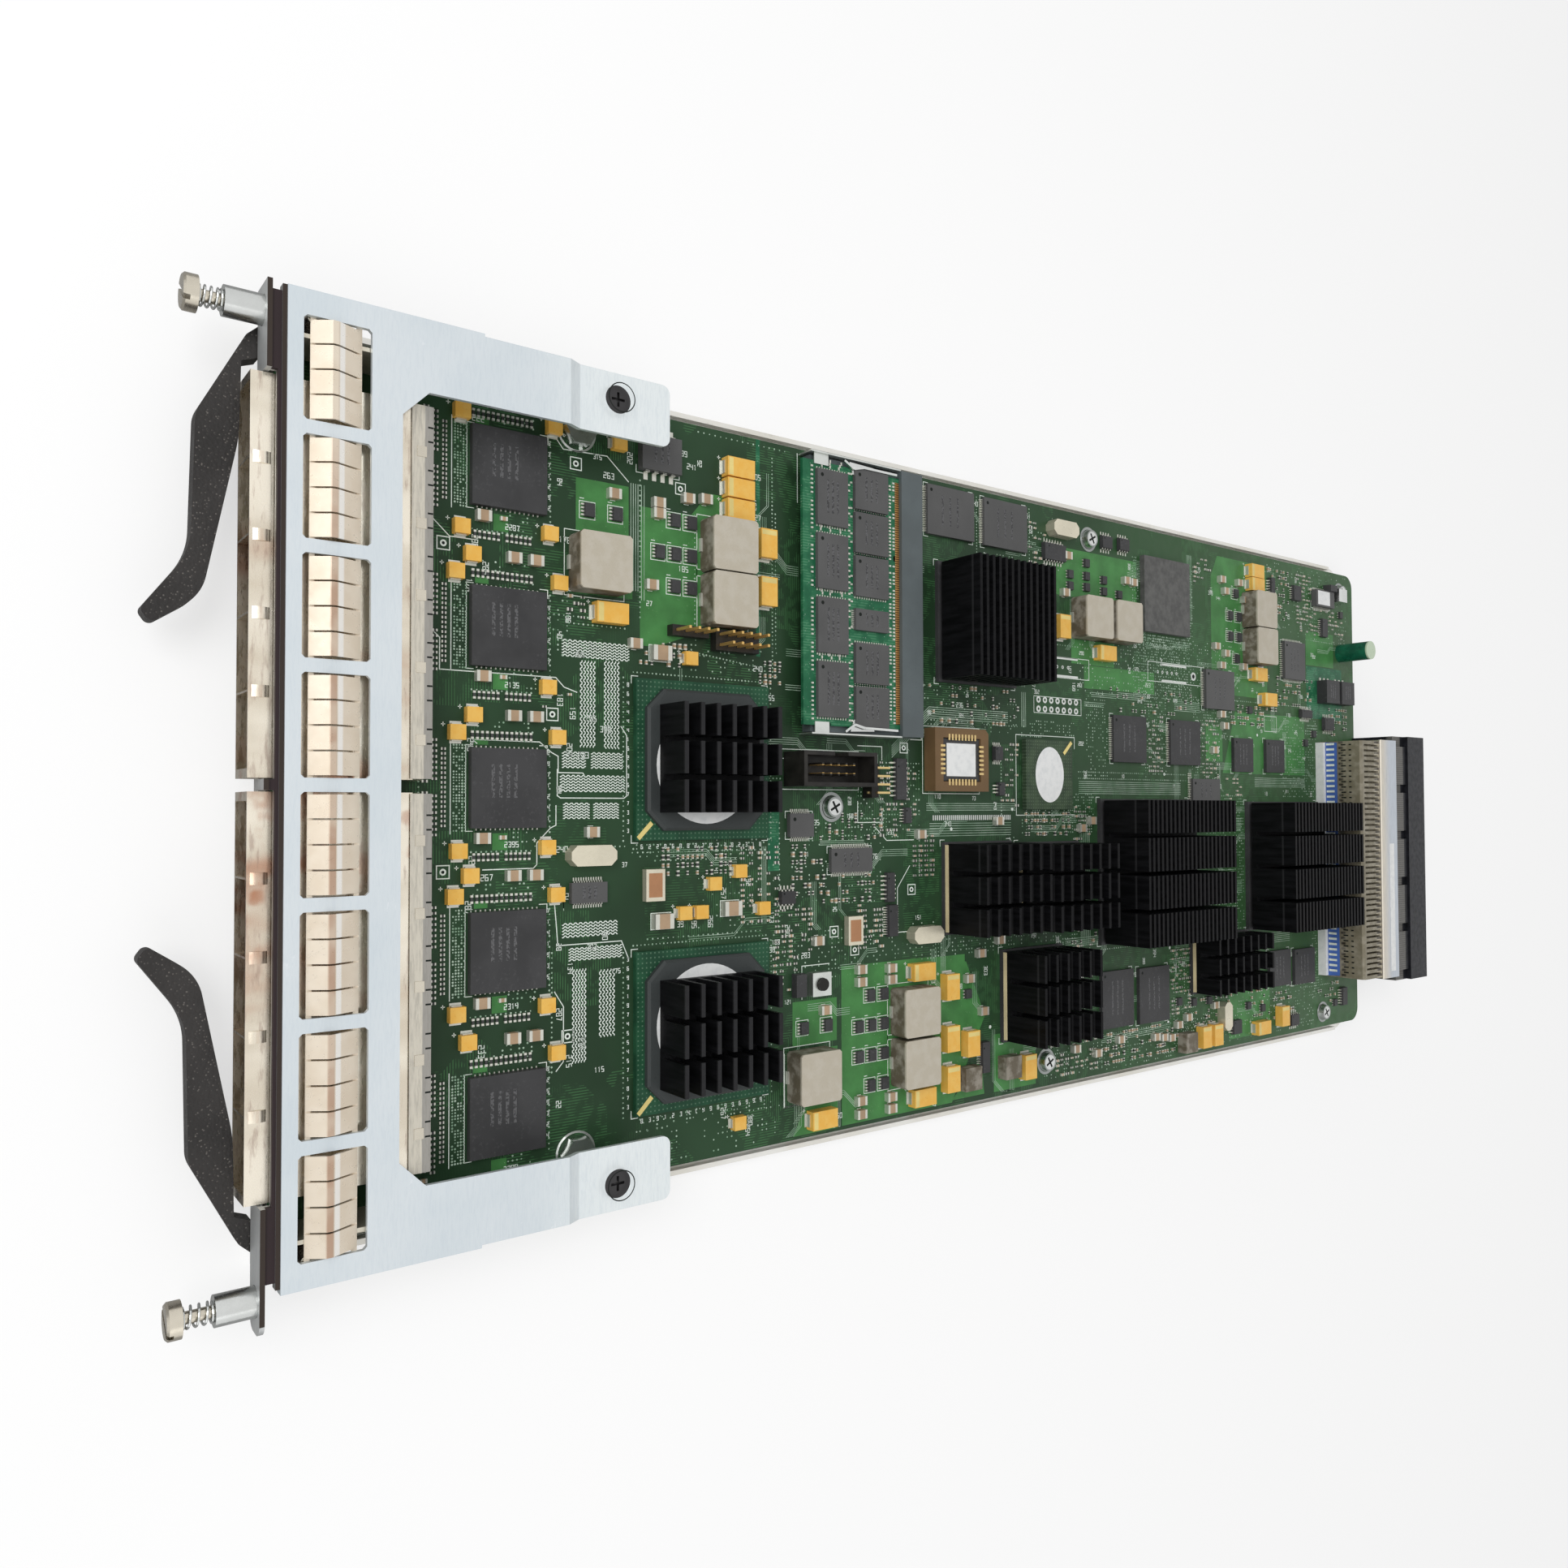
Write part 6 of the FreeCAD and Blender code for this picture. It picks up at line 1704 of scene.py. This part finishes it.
class CARD_OT_socket_and_headers(bpy.types.Operator):
    """Fit the socket's contacts, the chip's blank label and the bent pins"""
    bl_idname = "card.socket_and_headers"
    bl_label = "Socket and headers"

    def execute(self, context):
        x0, x1, y0, y1, z0, z1 = bricks("socketed_chip")[0]
        top = bricks("chip_socket")[0][5]
        label = Shape()
        label.slab(x0 + 1.3, x1 - 1.3, y0 + 1.5, y1 - 1.5, z1, z1 + 0.06, 0.01)
        b = next(b for b in bricks("logic_chips") if b[0] < -72 and b[2] > 370)
        label.slab(b[0] + 0.4, b[1] - 0.6, b[2] + 1.0, b[3] - 3.4, b[5], b[5] + 0.05, 0.01)
        label.slab(-48.6, -41.4, 341.0, 344.6, 0.0, 0.06, 0.01)
        label.piece("blank_labels", "label")
        places = []
        pitch = 1.27
        for i in range(9):
            y = (y0 + y1) / 2 + (i - 4) * pitch
            places += [(x1 - 0.1, y, 0, 0, ONE), (x0 + 0.1, y, 0, 180, ONE)]
        for i in range(7):
            x = (x0 + x1) / 2 + (i - 3) * pitch
            places += [(x, y1 - 0.1, 0, 90, ONE), (x, y0 + 0.1, 0, -90, ONE)]
        teeth = Pattern("Socket contacts", {"Length": 1.7, "Width": 0.62, "Height": 0.3})
        inward = teeth.sum("MULTIPLY", teeth.inputs["Length"], 0.28)
        bar = teeth.block(*teeth.inputs.values(), inward, 0.0, (top - 0.22) * MM)
        teeth.lay("socket_contacts", bar, places, "gold", "chip_socket")
        pins = Shape()
        for column, y in ((0, 151.0), (1, 153.4)):
            for i in range(4):
                x = -6.4 + i * 2.2
                z = 2.4 + column * 1.2
                pins.rail([(x, y, 0.2), (x, y, 2.6 + column * 1.2)], 0.5, 0.5)
                pins.rail([(x, y, z), (x, y + 5.4 - column, z)], 0.55, 0.5)
        pins.piece("bent_pins", "gold")
        base = Shape()
        base.slab(-7.6, 1.6, 151.6, 154.2, 0.0, 3.6, 0.1)
        base.piece("bent_pin_base", "header_black")
        return {"FINISHED"}


class CARD_OT_module_details(bpy.types.Operator):
    """Add the module's contact line, its small parts and the sprung latches"""
    bl_idname = "card.module_details"
    bl_label = "Memory module"

    def execute(self, context):
        x0, x1, y0, y1, z0, z1 = bricks("dimm_board")[0]
        contact = Shape()
        contact.slab(x0 + 1.2, x1 - 1.2, 159.6, 161.0, z1, z1 + 0.05, 0.01)
        contact.piece("module_contacts", "contact_line")
        dots = []
        dice = random.Random(sizes().seed + 5)
        chips = bricks("dimm_chips")
        for y, count in ((131.2, 58), (157.6, 70), (158.9, 70), (143.4, 44), (144.2, 30)):
            for i in range(count):
                x = x0 + 1.6 + i * (x1 - x0 - 3.2) / (count - 1)
                if dice.random() < 0.75 and not over(chips, x, y, 0.3):
                    dots.append((x, y, z1, 90.0, (0.7, 0.9, 0.8)))
        for b in chips:
            if b[1] - b[0] > 9 and b[2] < 140:
                for k in range(3):
                    for y in (134.0, 137.0, 140.5):
                        spot = y + dice.uniform(-0.6, 0.6)
                        dots.append((b[0] - 1.1 - k * 0.7, spot, z1, 0.0, (0.8, 0.8, 0.8)))
        lay_blocks("module_parts", (1.0, 0.5, 0.35), dots, "lead_tin", "dimm_board")
        wires = Shape()
        wire = ((-1.6, 141.5, 4.8), (0.3, 144.2, 5.4), (-0.5, 147.5, 5.5), (-0.7, 159.5, 5.0))
        tab = ((-1.5, 143.2), (1.6, 144.4), (2.0, 146.2), (1.0, 150.2), (-1.2, 151.4))
        for x, way in ((x0 + 0.2, 1), (x1 - 0.2, -1)):
            wires.rail([(x + way * across, y, z) for across, y, z in wire], 0.6, 0.5)
            wires.plate([(x + way * across, y) for across, y in tab], z1 + 0.1, z1 + 0.75)
        wires.piece("latch_springs", "bright_zinc")
        return {"FINISHED"}


class CARD_OT_screw_details(bpy.types.Operator):
    """Lay painted shade in the screws' cross recesses, and the grey rings of their rims and washers"""
    bl_idname = "card.screw_details"
    bl_label = "Screw details"

    def execute(self, context):
        # dark crosses in the screw heads: painted shade in their recesses
        dark = Shape()
        rims = Shape()
        for b in bricks("board_screws"):
            x, y = centre(b)
            z1 = b[5]
            for turn in (0.5, 0.5 + math.pi / 2):
                dx, dy = math.cos(turn), math.sin(turn)
                dark.ribbon([(x - dx * 1.7, y - dy * 1.7), (x + dx * 1.7, y + dy * 1.7)], 0.62,
                            z1 + 0.012 + 0.004 * (turn > 1))
            rims.ring(x, y, 2.15, 2.6, z1 + 0.01, 28)
            rims.ring(x, y, 3.1, 3.9, 0.12, 28)
        dark.piece("screw_recesses", "dark_hole")
        rims.piece("screw_rims", "steel_shade")
        # dark rings round the frame screws: painted shadow in their seats
        light = Shape()
        for b in bricks("frame_screws"):
            light.ring(*centre(b), 3.05, 3.3, 13.012, 32)
        light.piece("frame_screw_seats", "dark_hole")
        return {"FINISHED"}


class CARD_OT_cage_details(bpy.types.Operator):
    """Lay the cages' folded rear edge, its notches and the raised tabs along it"""
    bl_idname = "card.cage_details"
    bl_label = "Cage details"

    def execute(self, context):
        strip = Shape()
        notches = Shape()
        tabs = Shape()
        for node in ("port_cage_left", "port_cage_right"):
            low, high = span(node)
            strip.slab(low[0] + 0.2, high[0] - 0.2, 27.2, high[1] - 0.05, high[2], high[2] + 0.06, 0.01)
            x = low[0] + 1.4
            step = 0
            while x < high[0] - 2:
                if step % 3:
                    # dark patches: painted shade in the notches
                    notches.patch(x, x + 0.35, high[1] - 1.2, high[1] - 0.1, high[2] + 0.075)
                if step % 5 == 2:
                    tabs.slab(x + 1.2, x + 3.4, 28.2, 30.2, high[2] + 0.02, high[2] + 0.16, 0.05)
                x += 2.85
                step += 1
        strip.piece("cage_rear_edges", "rear_strip")
        notches.piece("cage_notches", "dark_hole")
        tabs.piece("cage_tabs", "champagne_steel")
        return {"FINISHED"}


class CARD_OT_connector_details(bpy.types.Operator):
    """Add the connector's labels, the blue strip and the rows of its leads"""
    bl_idname = "card.connector_details"
    bl_label = "Connector details"

    def execute(self, context):
        low, high = span("connector_wafers")
        front = low[1]
        label = Shape()
        label.slab(low[0] + 0.2, high[0] - 0.4, front - 2.6, front - 0.1, 0.0, 3.0, 0.1)
        start, end = span("connector_stiffener")
        label.slab(18.0, 66.6, start[1] + 6.0, start[1] + 9.4, end[2] - 0.02, end[2] + 0.05, 0.01)
        label.piece("connector_labels", "label")
        blue = Shape()
        blue.slab(low[0] + 0.2, high[0] - 0.4, front - 0.9, front - 0.05, 3.0, 7.2, 0.3)
        blue.piece("connector_blue_strip", "blue_strip")
        starts = [low[0] + i * 2.0 for i in range(44)]
        places = [(x + 1.0, front - 0.95, 3.4, 0, ONE) for x in starts]
        lay_blocks("strip_marks", (0.8, 0.2, 3.0), places, "legend", "connector_wafers")
        places = [(x + 1.4, front - 0.05, 8.6, 0, ONE) for x in starts]
        places += [(x + 1.4, front - 0.05, 11.6, 0, (1, 1, 0.5)) for x in starts]
        # dark slits on the wafers' front: painted shade
        lay_blocks("wafer_slits", (0.45, 0.12, 1.8), places, "dark_hole", "connector_wafers")
        return {"FINISHED"}


def spring(name, node, reach):
    """A captive screw's spring as a smooth coil."""
    low, high = span(node)
    cx, cz = (low[0] + high[0]) / 2, (low[2] + high[2]) / 2
    r = (high[0] - low[0]) / 2 - 0.24
    wire = 0.22
    turns = 4.5
    sides = 8
    steps = int(turns * 18)
    shape = Shape()
    rings = []
    for i in range(steps + 1):
        t = i / steps
        a = 2 * math.pi * turns * t
        flat = min(1.0, max(0.0, (t - 0.12) / 0.76))
        y = low[1] + wire + (high[1] - low[1] - 2 * wire) * flat
        out = Vector((math.cos(a), 0.0, math.sin(a)))
        centre = Vector((cx, y, cz))
        rings.append([centre + out * (r + wire * math.cos(b)) + Vector((0, wire * math.sin(b), 0))
                      for b in [2 * math.pi * k / sides for k in range(sides)]])
    for near, far in zip(rings, rings[1:]):
        for k in range(sides):
            n = (k + 1) % sides
            shape.face(tuple(near[k]), tuple(far[k]), tuple(far[n]), tuple(near[n]))
    shape.face(*[tuple(p) for p in rings[0]])
    shape.face(*[tuple(p) for p in reversed(rings[-1])])
    made = shape.piece(name, "bright_zinc")
    made.data.polygons.foreach_set("use_smooth", [True] * len(made.data.polygons))
    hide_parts(node)
    long = high[1] - low[1]
    at(cx, high[1], cz)
    (long - reach) / long
    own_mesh(made)


class CARD_OT_springs(bpy.types.Operator):
    """Wind the two springs behind the captive screws' heads"""
    bl_idname = "card.springs"
    bl_label = "Captive screw springs"

    def execute(self, context):
        for side, joint in (("left", "left_captive_screw_slide"), ("right", "right_captive_screw_slide")):
            slide = next(j for j in frame["joints"] if j["name"] == joint)
            reach = max(abs(v) for v in slide["range_m"]) / MM
            spring("screw_spring_" + side, "captive_spring_" + side, reach)
        return {"FINISHED"}


# ---- floor, lights and camera ----------------------------------------------------------------------
WHITE = (1.0, 1.0, 1.0, 1.0)
FLOOR_GREY = (0.42, 0.42, 0.42, 1.0)
FLOOR_GLOW = 0.6
FLOOR_GAP = 0.2 * MM
FLOOR_REACH = 14

# a lamp's name, its place from the card's middle in metres, and its size
LAMPS = (("key", (-0.3, -0.75, 0.85), 0.7), ("fill", (0.8, -0.45, 0.75), 0.9))

# the camera's place in card millimetres and its turn in degrees
CAMERA_PLACE = (5.175, -48.745, 234.455)
CAMERA_TURN = (1.4909, -36.6190, 89.8028)


class CARD_OT_stage(bpy.types.Operator):
    """Lay the floor, hang the soft lamps and set the camera"""
    bl_idname = "card.stage"
    bl_label = "Stage"

    def execute(self, context):
        stage = context.scene.card_stage
        scene = context.scene
        low, high = cad_box
        level = low[2] - FLOOR_GAP
        mesh = bpy.data.meshes.new("floor")
        corners = [(MIDDLE + x * FLOOR_REACH, y * FLOOR_REACH, level)
                   for x, y in ((-1, -1), (1, -1), (1, 1), (-1, 1))]
        mesh.from_pydata(corners, [], [(0, 1, 2, 3)])
        floor = bpy.data.objects.new("floor", mesh)
        scene.collection.objects.link(floor)
        mesh.materials.append(self.pale("pale_floor"))

        # white to the camera and in reflections, and a softer level everywhere else
        world = bpy.data.worlds.new("even_light")
        scene.world = world
        world.use_nodes = True
        sky = Nodes(world.node_tree)
        path = sky.node("ShaderNodeLightPath").outputs
        both = sky.node("ShaderNodeMath", {"operation": "MAXIMUM"},
                        {0: path["Is Camera Ray"], 1: path["Is Glossy Ray"]})
        seen = sky.node("ShaderNodeMath", {"operation": "MAXIMUM"},
                        {0: both.outputs[0], 1: path["Is Transmission Ray"]})
        soft = sky.node("ShaderNodeBackground", None, {"Color": WHITE, "Strength": stage.sky})
        white = sky.node("ShaderNodeBackground", None, {"Color": WHITE, "Strength": 1.0})
        mix = sky.node("ShaderNodeMixShader", None,
                       {0: seen.outputs[0], 1: soft.outputs[0], 2: white.outputs[0]})
        sky.node("ShaderNodeOutputWorld", None, {0: mix.outputs[0]})

        middle = Vector((MIDDLE, (low[1] + high[1]) / 2, 0.0))
        for name, place, size in LAMPS:
            lamp = bpy.data.lights.new(name + "_lamp", "AREA")
            lamp.shape = "SQUARE"
            lamp.size = size
            lamp.energy = getattr(stage, name)
            hung = bpy.data.objects.new(name + "_lamp", lamp)
            scene.collection.objects.link(hung)
            hung.location = middle + Vector(place)
            hung.rotation_euler = (middle - hung.location).to_track_quat("-Z", "Y").to_euler()

        lens = bpy.data.cameras.new("camera")
        lens.lens = stage.lens
        lens.sensor_width = 36
        lens.clip_start = 0.01
        camera = bpy.data.objects.new("camera", lens)
        scene.collection.objects.link(camera)
        camera.location = at(*CAMERA_PLACE)
        camera.rotation_euler = Euler([math.radians(a) for a in CAMERA_TURN], "XYZ")
        scene.camera = camera
        scene.view_settings.view_transform = "Standard"
        return {"FINISHED"}

    def pale(self, name):
        """White to the camera, with the object's soft shadow kept on it."""
        made = bpy.data.materials.new(name)
        made.use_nodes = True
        floor = Nodes(made.node_tree)
        matt = floor.node("ShaderNodeBsdfDiffuse", None, {"Color": FLOOR_GREY})
        seen = floor.node("ShaderNodeLightPath").outputs["Is Camera Ray"]
        share = floor.node("ShaderNodeMath", {"operation": "MULTIPLY"}, {0: seen, 1: FLOOR_GLOW})
        glow = floor.node("ShaderNodeEmission", None, {"Color": WHITE, "Strength": share.outputs[0]})
        both = floor.node("ShaderNodeAddShader", None, {0: matt.outputs[0], 1: glow.outputs[0]})
        floor.node("ShaderNodeOutputMaterial", None, {"Surface": both.outputs[0]})
        return made


PARTS = (
    CARD_OT_finishes, CARD_OT_pours, CARD_OT_traces, CARD_OT_legend, CARD_OT_vias, CARD_OT_small_parts,
    CARD_OT_ceramic_capacitors, CARD_OT_packages, CARD_OT_leads, CARD_OT_capacitor_ends, CARD_OT_switch_marks,
    CARD_OT_chip_faces, CARD_OT_socket_and_headers, CARD_OT_module_details, CARD_OT_screw_details,
    CARD_OT_cage_details, CARD_OT_connector_details, CARD_OT_springs, CARD_OT_stage,
)


class CARD_PT_build(bpy.types.Panel):
    """The card's pieces in the order they are made"""
    bl_idname = "CARD_PT_build"
    bl_label = "Switch line card"
    bl_space_type = "VIEW_3D"
    bl_region_type = "UI"
    bl_category = "Line card"

    def draw(self, context):
        layout = self.layout
        for group in (context.scene.card_colours, context.scene.card_sizes, context.scene.card_stage):
            box = layout.box()
            for name in group.__annotations__:
                box.prop(group, name)
        column = layout.column(align=True)
        for part in PARTS:
            column.operator(part.bl_idname)


CLASSES = (CardColours, CardSizes, StageSettings) + PARTS + (CARD_PT_build,)


def register():
    for made in CLASSES:
        bpy.utils.register_class(made)
    bpy.types.Scene.card_colours = PointerProperty(type=CardColours)
    bpy.types.Scene.card_sizes = PointerProperty(type=CardSizes)
    bpy.types.Scene.card_stage = PointerProperty(type=StageSettings)


def unregister():
    del bpy.types.Scene.card_stage
    del bpy.types.Scene.card_sizes
    del bpy.types.Scene.card_colours
    for made in reversed(CLASSES):
        bpy.utils.unregister_class(made)


def main():
    register()
    for part in PARTS:
        group, name = part.bl_idname.split(".")
        getattr(getattr(bpy.ops, group), name)()


if __name__ == "__main__":
    main()
